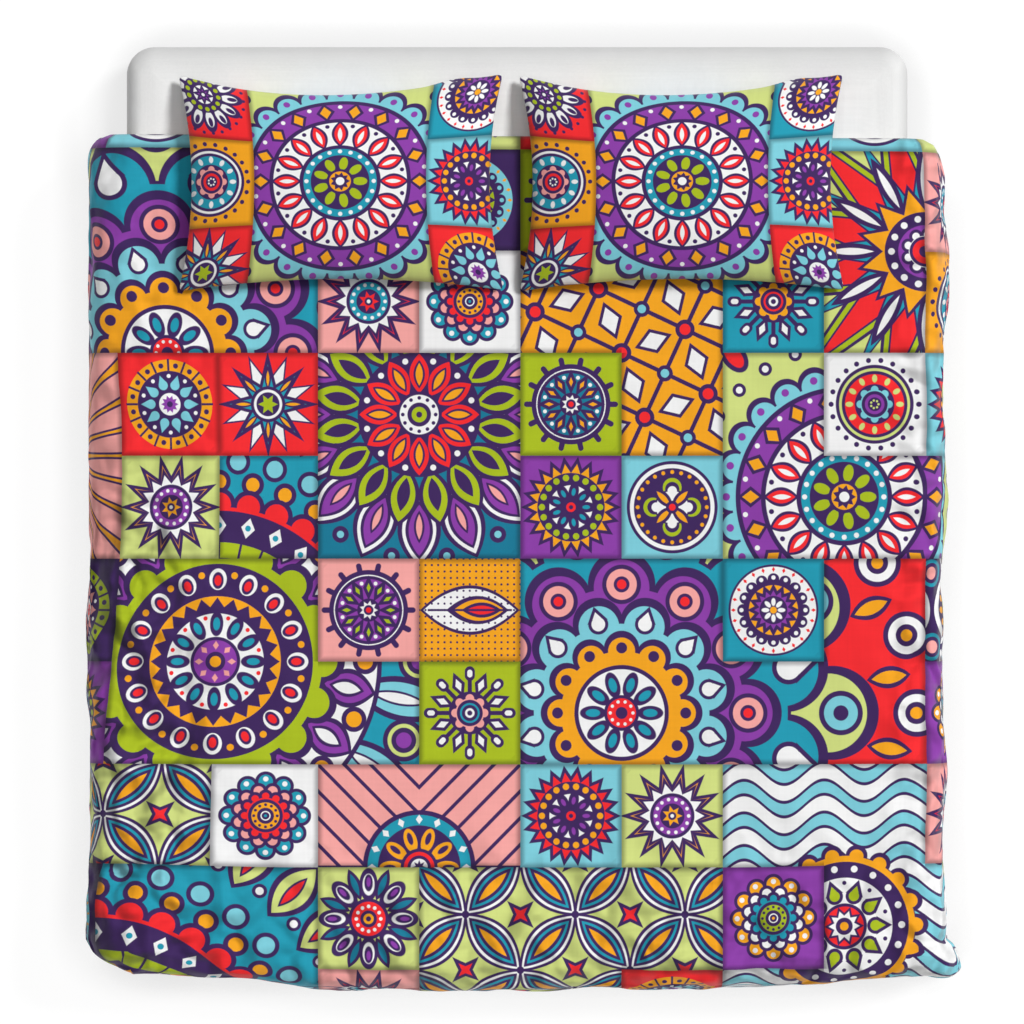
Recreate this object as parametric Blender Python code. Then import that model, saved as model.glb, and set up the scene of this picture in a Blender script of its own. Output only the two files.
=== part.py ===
"""A duvet cover set made up on a mattress: a duvet in its cover and two covered pillows.

Metres, +Z up. The origin is the middle of the mattress underside, on the floor.
+Y points to the head of the bed, and +X to the right of somebody who looks at it from the foot.
"""

import math
from collections import namedtuple
from functools import partial

import bmesh
import bpy
from mathutils import Matrix, Vector

# Mattress
MATTRESS_WIDTH = 1.83
MATTRESS_LENGTH = 2.134
MATTRESS_DEPTH = 0.36
MATTRESS_CORNER_RADIUS = 0.082
MATTRESS_CORNER_CELLS = 6
MATTRESS_EDGE_RADIUS = 0.045
MATTRESS_EDGE_CELLS = 4

# Duvet: its thickness, its edges and the way it bends over the mattress
DUVET_GAP = 0.0025
DUVET_LOFT = 0.036
DUVET_SEAM = 0.010
DUVET_SEAM_REACH = 0.085
SEAM_MERGE = 0.00005
HEAD_EDGE_Y = 0.861
HEAD_EDGE_SKEW = 0.011
SKEW_PIVOT_X = -1.0
SKEW_FADE = 0.45
HEAD_CORNER_DROOP = 0.10
SIDE_BEND_X = 0.895
FOOT_BEND_Y = 1.049
FOOT_BEND_EASE = 0.012
EASE_START = 0.5
EASE_REACH = 0.5
SIDE_FALL = 0.34
FOOT_FALL = 0.32
BEND_RADIUS = 0.040
FALL_ANGLE = math.radians(87)
FLARE_POWER = 1.5
SIDE_FLARE = 0.040
FOOT_FLARE = 0.024
CORNER_DIP = 0.07
CORNER_SLACK = 0.8
TOP_COLUMNS = 24
TOP_ROWS = 24
BEND_CELLS = 4
DROP_CELLS = 4
SEAM_STEPS = (0.012, 0.040, 0.085)

# A flute is a soft upright fold of a fall: its place along the edge, its half width, its swing at the hem
Flute = namedtuple("Flute", "place width swing")
LEFT_FLUTES = (
    Flute(place=0.62, width=0.16, swing=0.004),
    Flute(place=0.30, width=0.10, swing=-0.012),
    Flute(place=0.06, width=0.12, swing=0.005),
    Flute(place=-0.26, width=0.12, swing=-0.014),
    Flute(place=-0.56, width=0.12, swing=0.004),
    Flute(place=-0.90, width=0.13, swing=0.014),
)
RIGHT_FLUTES = (
    Flute(place=0.52, width=0.14, swing=0.006),
    Flute(place=0.20, width=0.11, swing=-0.006),
    Flute(place=-0.04, width=0.10, swing=0.007),
    Flute(place=-0.24, width=0.09, swing=-0.016),
    Flute(place=-0.46, width=0.12, swing=0.009),
    Flute(place=-0.78, width=0.14, swing=-0.010),
)
FOOT_FLUTES = (
    Flute(place=-0.86, width=0.14, swing=-0.022),
    Flute(place=-0.46, width=0.12, swing=0.006),
    Flute(place=-0.22, width=0.10, swing=-0.008),
    Flute(place=0.06, width=0.13, swing=0.009),
    Flute(place=0.34, width=0.10, swing=-0.007),
    Flute(place=0.58, width=0.12, swing=0.007),
    Flute(place=0.90, width=0.12, swing=-0.012),
)

# At a foot corner the place is an angle in degrees, 0 at the side and 90 at the foot
LEFT_CORNER_FLUTES = (
    Flute(place=40, width=30, swing=-0.014),
)
RIGHT_CORNER_FLUTES = (
    Flute(place=24, width=20, swing=0.058),
)

# A swell is a soft rise of the filling: its middle, its reach along and across, its turn and its height
Swell = namedtuple("Swell", "x y along across turn height")
SWELLS = (
    Swell(x=-0.78, y=-0.18, along=0.30, across=0.07, turn=78, height=0.009),
    Swell(x=-0.66, y=-0.62, along=0.26, across=0.08, turn=62, height=0.008),
    Swell(x=-0.82, y=-0.80, along=0.22, across=0.07, turn=104, height=0.008),
    Swell(x=-0.30, y=-0.86, along=0.30, across=0.09, turn=24, height=0.006),
    Swell(x=0.24, y=-0.92, along=0.28, across=0.08, turn=-18, height=0.006),
    Swell(x=0.78, y=-0.36, along=0.30, across=0.08, turn=98, height=0.007),
    Swell(x=0.70, y=-0.84, along=0.24, across=0.08, turn=122, height=0.007),
    Swell(x=0.10, y=-0.20, along=0.42, across=0.16, turn=12, height=0.004),
    Swell(x=-0.70, y=0.22, along=0.22, across=0.09, turn=84, height=0.005),
)

# Pillows: sizes, seam, crown and places
PILLOW_WIDTH = 0.755
PILLOW_LENGTH = 0.490
PILLOW_SIDE_DRAW = 0.028
PILLOW_HEAD_DRAW = 0.046
PILLOW_FOOT_DRAW = 0.016
PILLOW_HEAD_DRAW_PLACE = -0.2
PILLOW_CROWN = 0.092
PILLOW_BELLY = 0.072
PILLOW_FULLNESS = 2.2
PILLOW_ROUNDNESS = 0.55
PILLOW_SEAM_HEIGHT = 0.054
PILLOW_CORNER_DROOP = 0.042
PILLOW_DROOP_POWER = 4
PILLOW_HEAD_SAG = 0.026
PILLOW_BACK_BULGE = 0.012
PILLOW_BULGE_PLACE = 0.93
PILLOW_BULGE_REACH = 0.08
PILLOW_BULGE_ONSET = 0.33
PILLOW_REST_GAP = 0.0015
PILLOW_STEP_REACH = 0.12
PILLOW_COLUMNS = 22
PILLOW_ROWS = 16
PILLOW_MIDDLE_Y = 0.749
PILLOW_TURN = math.radians(0.9)
PILLOW_MIDDLE_X = {"pillow_left": -0.413, "pillow_right": 0.385}

# Finish
TICKING_WHITE = (0.78, 0.78, 0.78)
DUVET_TEAL = (0.10, 0.45, 0.55)
PILLOW_RED = (0.75, 0.25, 0.12)
TICKING_ROUGHNESS = 0.85
COTTON_ROUGHNESS = 0.8

DUVET_BED = MATTRESS_DEPTH + DUVET_GAP
DUVET_TOP = DUVET_BED + DUVET_LOFT


def clear_scene():
    """Remove every object that the scene starts with."""
    for item in list(bpy.data.objects):
        bpy.data.objects.remove(item, do_unlink=True)


def cloth_material(name, colour, roughness):
    """A plain material in the part's colour."""
    material = bpy.data.materials.new(name)
    material.use_nodes = True
    shader = material.node_tree.nodes["Principled BSDF"]
    shader.inputs["Base Color"].default_value = (*colour, 1.0)
    shader.inputs["Roughness"].default_value = roughness
    shader.inputs["Metallic"].default_value = 0.0
    return material


def add_object(name, bm, collection, material):
    """Turn a bmesh into a smooth-shaded object of the collection."""
    mesh = bpy.data.meshes.new(name)
    bm.to_mesh(mesh)
    bm.free()
    mesh.shade_smooth()
    mesh.materials.append(material)
    collection.objects.link(bpy.data.objects.new(name, mesh))


def smooth_step(value):
    """Rise softly from 0 to 1 as the value goes from 0 to 1."""
    share = min(1.0, max(0.0, value))
    return share * share * (3 - 2 * share)


def bell(value, place, width):
    """A round hump that is 1 at the place and fades over the width."""
    return math.exp(-((value - place) / width) ** 2)


def swing(value, flutes):
    """How far the flutes at this place push the hem out, in metres."""
    return sum(flute.swing * bell(value, flute.place, flute.width) for flute in flutes)


def swell_height(x, y):
    """How far the filling rises above its even loft at a place on the top."""
    total = 0.0
    for swell in SWELLS:
        turn = math.radians(swell.turn)
        along = (x - swell.x) * math.cos(turn) + (y - swell.y) * math.sin(turn)
        across = (y - swell.y) * math.cos(turn) - (x - swell.x) * math.sin(turn)
        total += swell.height * bell(along, 0, swell.along) * bell(across, 0, swell.across)
    return total


def seam_ramp(distance):
    """Quarter-round rise of the loft from 0 at the sewn edge to 1 over the seam's reach."""
    share = min(1.0, max(0.0, distance) / DUVET_SEAM_REACH)
    return math.sqrt(1 - (1 - share) ** 2)


def head_edge(x):
    """Where the head edge lies: it runs slightly askew, lower on the right."""
    return HEAD_EDGE_Y - HEAD_EDGE_SKEW * (x - SKEW_PIVOT_X)


def fall(distance, length, flare, lift):
    """Outward and downward reach of the duvet at a distance past the bend, lift above its resting side.

    A round bend over the mattress edge, then a nearly upright drop that swings out by flare at the hem.
    The lift is added square to that line.
    """
    bend_length = BEND_RADIUS * FALL_ANGLE
    angle = min(distance / BEND_RADIUS, FALL_ANGLE)
    drop = max(0.0, distance - bend_length)
    share = drop / (length - bend_length)
    out = BEND_RADIUS * math.sin(angle) + drop * math.cos(FALL_ANGLE) + flare * share ** FLARE_POWER
    down = BEND_RADIUS * (1 - math.cos(angle)) + drop * math.sin(FALL_ANGLE)
    slope = math.cos(angle) + FLARE_POWER * flare / (length - bend_length) * share ** (FLARE_POWER - 1)
    square = Vector((math.sin(angle), slope)).normalized()
    return out + lift * square.x, down - lift * square.y


def duvet_point(across, along, lift):
    """Place of a point of the duvet that lies lift above its resting side.

    across and along are its place on the cloth laid flat: across from the middle, along towards the head.
    Past a bend line the cloth falls. At a foot corner both falls meet, and the cloth runs round the corner
    like a cone: its angle tells how it is shared between the side and the foot, and it dips a little there.
    The foot's bend line eases a little towards the head at its two ends.
    """
    right = across > 0
    past_side = max(0.0, abs(across) - SIDE_BEND_X) / SIDE_FALL
    past_foot = max(0.0, -FOOT_BEND_Y - along) / FOOT_FALL
    x = min(SIDE_BEND_X, max(-SIDE_BEND_X, across))
    y = max(-FOOT_BEND_Y, along)
    near_side = smooth_step((abs(x) - EASE_START) / EASE_REACH)
    near_foot = smooth_step((-y - EASE_START) / EASE_REACH)
    y += FOOT_BEND_EASE * near_side * near_foot
    fade = smooth_step((along - HEAD_EDGE_Y + SKEW_FADE) / SKEW_FADE)
    y -= (HEAD_EDGE_Y - head_edge(x)) * fade
    if past_side == 0 and past_foot == 0:
        return Vector((x, y, DUVET_BED + lift))
    angle = math.atan2(past_foot, past_side)
    side_share = math.cos(angle) ** 2
    foot_share = math.sin(angle) ** 2
    side_flare = SIDE_FLARE + swing(y, RIGHT_FLUTES if right else LEFT_FLUTES)
    foot_flare = FOOT_FLARE + swing(x, FOOT_FLUTES)
    flare = side_flare * side_share + foot_flare * foot_share
    if past_side > 0 and past_foot > 0:
        corner = RIGHT_CORNER_FLUTES if right else LEFT_CORNER_FLUTES
        flare += swing(math.degrees(angle), corner)
    length = SIDE_FALL * side_share + FOOT_FALL * foot_share
    past = max(past_side, past_foot) * (1 + CORNER_DIP * math.sin(2 * angle) ** 2)
    out, down = fall(past * length, length, flare, lift)
    if right:
        y -= HEAD_CORNER_DROOP * fade * past_side ** 2
    turn = math.cos(angle) if right else -math.cos(angle)
    return Vector((x + out * turn, y - out * math.sin(angle), DUVET_BED - down))


def duvet_panel(across, along, back):
    """Place of a point of the cover's back or front panel.

    The back lies on the mattress and the front rises to the loft, with its swells. Both draw in to the seam,
    a little above the resting side. The filling doesn't reach into the foot corners, so these are slack.
    """
    to_side = SIDE_BEND_X + SIDE_FALL - abs(across)
    to_foot = along + FOOT_BEND_Y + FOOT_FALL
    to_head = HEAD_EDGE_Y - along
    ramp = seam_ramp(min(to_side, to_foot, to_head))
    if back:
        return duvet_point(across, along, DUVET_SEAM * (1 - ramp))
    in_corner = smooth_step(1 - to_side / SIDE_FALL) * smooth_step(1 - to_foot / FOOT_FALL)
    full = (DUVET_LOFT - DUVET_SEAM + swell_height(across, along)) * (1 - CORNER_SLACK * in_corner)
    return duvet_point(across, along, DUVET_SEAM + full * ramp)


def fall_lines(length):
    """Distances past the bend of the grid lines on a fall, from the bend to the hem."""
    bend_length = BEND_RADIUS * FALL_ANGLE
    lines = [bend_length * step / BEND_CELLS for step in range(1, BEND_CELLS + 1)]
    drop = length - SEAM_STEPS[-1] - bend_length
    lines += [bend_length + drop * step / DROP_CELLS for step in range(1, DROP_CELLS + 1)]
    lines += [length - step for step in reversed(SEAM_STEPS[:-1])]
    return lines + [length]


def even_lines(start, end, cells):
    """Evenly spaced grid lines from start to end."""
    return [start + (end - start) * step / cells for step in range(cells + 1)]


def sew_panels(name, collection, material, columns, rows, panel):
    """A filled cover of two panels sewn together round the edge.

    Each panel is a grid whose lines lie at the columns and rows. panel(column, row, back) gives a point's
    place. The panels meet at their edges, where their points are merged into one seam.
    """
    bm = bmesh.new()
    for back in (False, True):
        front_faces = set(bm.faces)
        grid = bmesh.ops.create_grid(bm, x_segments=len(columns) - 1, y_segments=len(rows) - 1, size=1)
        for point in grid["verts"]:
            column = round((point.co.x + 1) / 2 * (len(columns) - 1))
            row = round((point.co.y + 1) / 2 * (len(rows) - 1))
            point.co = panel(columns[column], rows[row], back)
        if back:
            bmesh.ops.reverse_faces(bm, faces=[face for face in bm.faces if face not in front_faces])
    bmesh.ops.remove_doubles(bm, verts=bm.verts[:], dist=SEAM_MERGE)
    add_object(name, bm, collection, material)


def climb(edge):
    """How far an edge climbs from one end to the other."""
    return abs(edge.verts[0].co.z - edge.verts[1].co.z)


def round_edges(bm, edges, radius, cells):
    """Round these edges with an arc of the radius."""
    bmesh.ops.bevel(bm, geom=edges, offset=radius, segments=cells, profile=0.5, affect="EDGES")


def make_mattress(collection):
    """A plain slab with rounded corners and rims and a flat underside."""
    bm = bmesh.new()
    size = (MATTRESS_WIDTH, MATTRESS_LENGTH, MATTRESS_DEPTH)
    place = Matrix.Translation((0, 0, MATTRESS_DEPTH / 2)) @ Matrix.Diagonal((*size, 1))
    bmesh.ops.create_cube(bm, size=1, matrix=place)
    upright = [edge for edge in bm.edges if climb(edge) > MATTRESS_DEPTH / 2]
    round_edges(bm, upright, MATTRESS_CORNER_RADIUS, MATTRESS_CORNER_CELLS)
    rims = [edge for edge in bm.edges if climb(edge) < MATTRESS_DEPTH / 2]
    round_edges(bm, rims, MATTRESS_EDGE_RADIUS, MATTRESS_EDGE_CELLS)
    ticking = cloth_material("white_ticking", TICKING_WHITE, TICKING_ROUGHNESS)
    add_object("mattress", bm, collection, ticking)


def make_duvet(collection):
    """The duvet in its cover, with close grid lines round each bend and along the seam."""
    side = fall_lines(SIDE_FALL)
    foot = fall_lines(FOOT_FALL)
    columns = [-SIDE_BEND_X - step for step in reversed(side)]
    columns += even_lines(-SIDE_BEND_X, SIDE_BEND_X, TOP_COLUMNS)
    columns += [SIDE_BEND_X + step for step in side]
    rows = [-FOOT_BEND_Y - step for step in reversed(foot)]
    rows += even_lines(-FOOT_BEND_Y, HEAD_EDGE_Y - SEAM_STEPS[-1], TOP_ROWS)
    rows += [HEAD_EDGE_Y - step for step in reversed(SEAM_STEPS[:-1])]
    rows += [HEAD_EDGE_Y]
    cotton = cloth_material("printed_cotton", DUVET_TEAL, COTTON_ROUGHNESS)
    sew_panels("duvet_cover", collection, cotton, columns, rows, duvet_panel)


def pillow_seam(u, v):
    """Place at u, v from -1 to 1 in the seam's own surface: its edges are drawn in between the corners."""
    side = PILLOW_WIDTH / 2 - PILLOW_SIDE_DRAW * (1 - v * v)
    head = PILLOW_HEAD_DRAW * (1 - u * u) * (1 + PILLOW_HEAD_DRAW_PLACE * u)
    foot = PILLOW_FOOT_DRAW * (1 - u * u)
    length = PILLOW_LENGTH / 2 - (head if v > 0 else foot)
    corner = ((u * u + v * v) / 2) ** PILLOW_DROOP_POWER
    droop = PILLOW_CORNER_DROOP * corner + PILLOW_HEAD_SAG * smooth_step(v)
    height = DUVET_TOP + PILLOW_SEAM_HEIGHT - droop
    return u * side, v * length, height


def pillow_rest(x, y):
    """Lowest that a pillow's back may reach: the duvet's top, then a step down past its head edge."""
    past_edge = (y - head_edge(x) + DUVET_SEAM) / PILLOW_STEP_REACH
    return DUVET_TOP + PILLOW_REST_GAP - (DUVET_LOFT - PILLOW_REST_GAP) * smooth_step(past_edge)


def pillow_panel(u, v, back, middle_x):
    """Place of a point of a pillow cover: a crowned front, and a back that is flat where it rests."""
    x, y, seam = pillow_seam(u, v)
    full = max(0.0, (1 - abs(u) ** PILLOW_FULLNESS) * (1 - abs(v) ** PILLOW_FULLNESS)) ** PILLOW_ROUNDNESS
    if back:
        inside = min(1.0, full / PILLOW_BULGE_ONSET)
        y += PILLOW_BACK_BULGE * bell(v, PILLOW_BULGE_PLACE, PILLOW_BULGE_REACH) * inside
    place = Matrix.Rotation(PILLOW_TURN, 3, "Z") @ Vector((x, y, 0)) + Vector((middle_x, PILLOW_MIDDLE_Y, 0))
    if back:
        place.z = max(seam - PILLOW_BELLY * full, pillow_rest(place.x, place.y))
    else:
        place.z = seam + PILLOW_CROWN * full
    return place


def make_pillow(name, middle_x, collection, material):
    """A pillow in its cover, with grid lines that close up towards the seam."""
    columns = [math.sin(math.pi / 2 * step) for step in even_lines(-1, 1, PILLOW_COLUMNS)]
    rows = [math.sin(math.pi / 2 * step) for step in even_lines(-1, 1, PILLOW_ROWS)]
    sew_panels(name, collection, material, columns, rows, partial(pillow_panel, middle_x=middle_x))


def main():
    """Build the mattress, the duvet and the two pillows."""
    clear_scene()
    collection = bpy.data.collections.new("duvet_cover_set")
    bpy.context.scene.collection.children.link(collection)
    make_mattress(collection)
    make_duvet(collection)
    pillow_cotton = cloth_material("printed_pillow_cotton", PILLOW_RED, COTTON_ROUGHNESS)
    for name, middle_x in PILLOW_MIDDLE_X.items():
        make_pillow(name, middle_x, collection, pillow_cotton)


main()
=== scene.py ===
"""The looks of a duvet cover set made up on a mattress: a printed duvet and two printed pillows.

Metres, +Z up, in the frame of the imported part: the origin is the middle of the mattress underside and +Y
points to the head of the bed. The print is drawn in millimetres, on square patches of PATCH millimetres.
"""
import math
from collections import namedtuple

import bpy
import numpy as np
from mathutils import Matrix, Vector


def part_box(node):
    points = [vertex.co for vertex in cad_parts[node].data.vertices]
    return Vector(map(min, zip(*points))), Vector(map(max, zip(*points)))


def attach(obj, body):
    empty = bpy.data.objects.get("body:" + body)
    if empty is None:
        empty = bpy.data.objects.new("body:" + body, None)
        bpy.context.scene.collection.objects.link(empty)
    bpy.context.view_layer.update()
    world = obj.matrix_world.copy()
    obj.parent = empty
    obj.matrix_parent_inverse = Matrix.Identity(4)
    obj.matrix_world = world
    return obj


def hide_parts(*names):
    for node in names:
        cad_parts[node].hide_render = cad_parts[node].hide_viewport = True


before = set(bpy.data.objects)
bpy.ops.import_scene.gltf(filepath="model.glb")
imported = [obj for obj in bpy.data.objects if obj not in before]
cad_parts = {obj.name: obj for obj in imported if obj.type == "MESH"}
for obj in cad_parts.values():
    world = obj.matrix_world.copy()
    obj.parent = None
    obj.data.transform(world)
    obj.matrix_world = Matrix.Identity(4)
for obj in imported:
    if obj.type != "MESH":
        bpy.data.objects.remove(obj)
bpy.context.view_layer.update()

# Mattress: its half sizes as packed, its rounding, how its top sinks towards the rim at the open head end,
# how wide the shade painted round its rim is, how much wider the open end is, and the points of its mesh
mattress_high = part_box("mattress")[1]
MATTRESS_HALF_WIDTH = mattress_high.x
MATTRESS_HALF_LENGTH = mattress_high.y
MATTRESS_DEPTH = mattress_high.z
MATTRESS_CORNER_RADIUS = 0.066
MATTRESS_EDGE_RADIUS = 0.038
MATTRESS_CROWN = 0.020
MATTRESS_CROWN_REACH = 0.11
MATTRESS_RIM_SHADE_FROM_HEAD = 0.13
MATTRESS_RIM_SHADE_FROM_SIDE = 0.06
MATTRESS_OPEN_Y = 0.80
MATTRESS_OPEN_REACH = 0.12
MATTRESS_HEAD_SPREAD = 0.003
MATTRESS_MIDDLE_INSET = 0.6
MATTRESS_FACE_RINGS = 24
MATTRESS_ARC_POINTS = 13
MATTRESS_LEAST_RADIUS = 0.004

# Duvet: its thickness, its edges and the way it bends over the mattress
DUVET_GAP = 0.0025
DUVET_LOFT = 0.036
DUVET_SEAM = 0.010
DUVET_SEAM_REACH = 0.085
HEAD_EDGE_Y = 0.864
HEAD_EDGE_SKEW = 0.0055
SKEW_PIVOT_X = -1.0
SKEW_FADE = 0.45
HEAD_CORNER_DROOP = 0.10
SIDE_BEND_X = 0.900
FOOT_BEND_Y = 1.049
FOOT_BEND_EASE = 0.012
EASE_START = 0.5
EASE_REACH = 0.5
SIDE_FALL = 0.34
FOOT_FALL = 0.32
BEND_RADIUS = 0.040
FALL_ANGLE = math.radians(87)
FLARE_POWER = 1.5
SIDE_FLARE = 0.028
FOOT_FLARE = 0.009
CORNER_DIP = 0.07
CORNER_SLACK = 0.8

# The filling of a fall has sunk below the bend: how much thicker it is there, how far the flutes share in it,
# and where it rises, starts to fade and has faded
SIDE_SINK = 0.70
FOOT_SINK = 0.36
SINK_SWING = 0.8
SINK_RISE = 0.07
SINK_END = 0.12
SINK_FADE = 0.17

# A narrow hem of plain cloth, and the heights of the duvet's underside and top on the mattress
HEM_TURN = 0.008
DUVET_BED = MATTRESS_DEPTH + DUVET_GAP
DUVET_TOP = DUVET_BED + DUVET_LOFT

# A flute is a soft upright fold of a fall: its place along the edge, its half width, its swing at the hem
Flute = namedtuple("Flute", "place width swing")
LEFT_FLUTES = (
    Flute(0.72, 0.12, -0.002),
    Flute(0.50, 0.12, -0.006),
    Flute(0.24, 0.10, 0.002),
    Flute(0.06, 0.12, -0.002),
    Flute(-0.20, 0.10, 0.006),
    Flute(-0.50, 0.12, -0.002),
    Flute(-0.76, 0.14, -0.006),
    Flute(-0.98, 0.10, 0.007),
)
RIGHT_FLUTES = (
    Flute(0.62, 0.16, 0.002),
    Flute(0.22, 0.12, 0.004),
    Flute(0.0, 0.10, 0.005),
    Flute(-0.20, 0.10, -0.014),
    Flute(-0.42, 0.12, -0.004),
    Flute(-0.68, 0.14, -0.003),
    Flute(-0.98, 0.10, 0.009),
)
FOOT_FLUTES = (
    Flute(-0.86, 0.14, -0.024),
    Flute(-0.62, 0.12, -0.021),
    Flute(-0.42, 0.10, 0.004),
    Flute(-0.18, 0.12, 0.008),
    Flute(0.06, 0.12, 0.004),
    Flute(0.34, 0.12, 0.003),
    Flute(0.56, 0.10, 0.002),
    Flute(0.78, 0.12, -0.012),
    Flute(0.94, 0.12, -0.014),
)

# At a foot corner the place is an angle in degrees, 0 at the side and 90 at the foot
LEFT_CORNER_FLUTES = (
    Flute(42, 32, -0.024),
)
RIGHT_CORNER_FLUTES = (
    Flute(24, 20, 0.058),
)

# A swell is a soft rise of the filling: its middle, its reach along and across, its turn and its height
Swell = namedtuple("Swell", "x y along across turn height")
SWELLS = (
    Swell(-0.78, -0.18, 0.30, 0.07, 78, 0.009),
    Swell(-0.66, -0.62, 0.26, 0.08, 62, 0.008),
    Swell(-0.82, -0.80, 0.22, 0.07, 104, 0.008),
    Swell(-0.30, -0.86, 0.30, 0.09, 24, 0.006),
    Swell(0.24, -0.92, 0.28, 0.08, -18, 0.006),
    Swell(0.78, -0.36, 0.30, 0.08, 98, 0.007),
    Swell(0.70, -0.84, 0.24, 0.08, 122, 0.007),
    Swell(0.10, -0.20, 0.42, 0.16, 12, 0.004),
    Swell(-0.70, 0.22, 0.22, 0.09, 84, 0.005),
)

# A crease is a soft trough (depth over 0) or ridge (under 0) of the cover: its middle, its half length and
# half width, its turn in degrees, how far its ends bend aside, and its depth
Crease = namedtuple("Crease", "x y along across turn bend depth")
CREASES = (
    Crease(-0.86, -0.06, 0.26, 0.016, 84, 0.03, 0.0045),
    Crease(-0.80, -0.12, 0.20, 0.014, 72, -0.02, 0.0035),
    Crease(-0.90, -0.42, 0.18, 0.016, 100, 0.03, 0.0045),
    Crease(-0.72, -0.44, 0.18, 0.018, 56, 0.03, 0.004),
    Crease(-0.84, -0.66, 0.20, 0.015, 74, -0.03, 0.0045),
    Crease(-0.74, -0.82, 0.16, 0.016, 118, 0.02, 0.004),
    Crease(-0.90, 0.30, 0.16, 0.016, 96, -0.02, 0.0035),
    Crease(-0.60, -0.98, 0.16, 0.016, 20, 0.02, 0.0035),
    Crease(-0.22, -1.00, 0.18, 0.016, -12, 0.02, 0.0035),
    Crease(0.30, -0.98, 0.16, 0.015, 16, -0.02, 0.0035),
    Crease(0.62, -0.96, 0.16, 0.016, -24, 0.02, 0.004),
    Crease(0.90, -0.22, 0.20, 0.016, 86, -0.03, 0.0045),
    Crease(0.84, -0.56, 0.20, 0.016, 100, 0.02, 0.004),
    Crease(0.88, -0.82, 0.16, 0.016, 78, -0.03, 0.0045),
    Crease(0.92, 0.24, 0.20, 0.016, 94, 0.02, 0.0035),
    Crease(0.42, 0.36, 0.22, 0.022, 8, 0.02, 0.0025),
    Crease(-0.44, 0.38, 0.22, 0.022, -6, 0.02, 0.0025),
    Crease(0.02, -0.52, 0.22, 0.020, 28, 0.02, 0.0025),
    Crease(-0.905, -0.165, 0.045, 0.013, -58, 0.006, 0.0090),
    Crease(-0.900, -0.240, 0.060, 0.013, 68, 0.010, 0.0099),
    Crease(-0.860, -0.330, 0.055, 0.013, 56, -0.008, 0.0090),
    Crease(-0.835, -0.385, 0.040, 0.012, 84, 0.006, 0.0081),
    Crease(-0.875, -0.470, 0.055, 0.013, -64, 0.008, 0.0090),
    Crease(-0.780, -0.600, 0.060, 0.014, 48, -0.010, 0.0081),
    Crease(-0.570, -0.610, 0.050, 0.014, 72, 0.008, 0.0063),
    Crease(-0.905, -0.890, 0.070, 0.013, -42, 0.010, 0.0099),
    Crease(-0.825, -0.945, 0.050, 0.013, 22, -0.008, -0.0072),
    Crease(-0.735, -0.985, 0.045, 0.012, 76, 0.006, 0.0090),
    Crease(-0.745, -1.040, 0.055, 0.013, 18, 0.008, 0.0081),
    Crease(-0.900, 0.120, 0.060, 0.013, 62, 0.008, 0.0072),
    Crease(-0.890, 0.520, 0.050, 0.013, -70, 0.006, 0.0063),
    Crease(-0.460, -0.950, 0.060, 0.014, -34, 0.010, 0.0072),
    Crease(0.050, -1.000, 0.060, 0.014, 40, 0.010, 0.0072),
    Crease(0.460, -0.900, 0.055, 0.014, -52, -0.008, 0.0072),
    Crease(0.760, -0.980, 0.060, 0.013, 34, 0.008, 0.0081),
    Crease(0.930, -0.380, 0.050, 0.012, 80, 0.006, 0.0090),
    Crease(0.915, -0.500, 0.050, 0.012, 104, -0.006, 0.0081),
    Crease(0.935, -0.620, 0.055, 0.012, 72, 0.006, 0.0099),
    Crease(0.910, -0.740, 0.045, 0.012, -68, 0.006, 0.0081),
    Crease(0.890, -0.900, 0.060, 0.013, 52, 0.008, 0.0090),
    Crease(0.930, 0.060, 0.050, 0.013, 84, 0.006, 0.0072),
)

# The seams pucker: half the height of the puckers, how far they reach in, and their three wavelengths
PUCKER_HEIGHT = 0.0014
PUCKER_REACH = 0.045
PUCKER_WAVES = (0.083, 0.047, 0.029)
PUCKER_PHASE = 7

# Where the cover lies slack and crumples: at the left, at the foot and at the right edge. Each zone starts at
# a place, is full after a reach, and has its own measure. Towards the head the left zone falls to a share.
SLACK_LEFT = (0.60, 0.24, 1.0)
SLACK_FOOT = (0.70, 0.28, 0.75)
SLACK_RIGHT = (0.82, 0.12, 0.85)
SLACK_HEAD_SHARE = 0.35
SLACK_HEAD_Y = 0.25
SLACK_HEAD_REACH = 0.4

# Unevenness of the filling and the cover: height, wavelength and seed of each sum of waves
Ripple = namedtuple("Ripple", "height wave seed")
RIPPLES = (
    Ripple(0.0030, 0.42, 4),
    Ripple(0.0016, 0.17, 9),
    Ripple(0.0006, 0.07, 13),
)
RIPPLE_TERMS = 9
RIPPLE_SHORTEST = 0.7
RIPPLE_SPREAD = 0.6
GOLDEN_ANGLE = 2.39996

# The print on the duvet: its patches as drawn, in millimetres, and as printed, the top left corner of the
# patchwork, the cells of the mesh to a patch, a distance past any border, and how its left side is bowed
PATCH = 240.0
PATCH_WIDTH = 0.2372
PATCH_LENGTH = 0.2412
PATCHWORK_X = -1.4155
PATCHWORK_Y = 1.0737
PATCH_CELLS = 21
FAR_FROM_BORDER = 999.0
BOW = 0.062
BOW_Y = 0.06
BOW_REACH = 0.62
BOW_REST = 0.046
BOW_START = -1.29
BOW_RISE = 0.30
BOW_FADE = 0.52

# The print on the pillows has the same motifs, drawn smaller
PILLOW_PATCH = 0.2193

# Share of the height of the UV map OFBake that a piece's front panel fills, and the margin round each panel
DUVET_FRONT_SHARE = 0.93
PILLOW_FRONT_SHARE = 0.5
BAKE_MARGIN = 0.004

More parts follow.
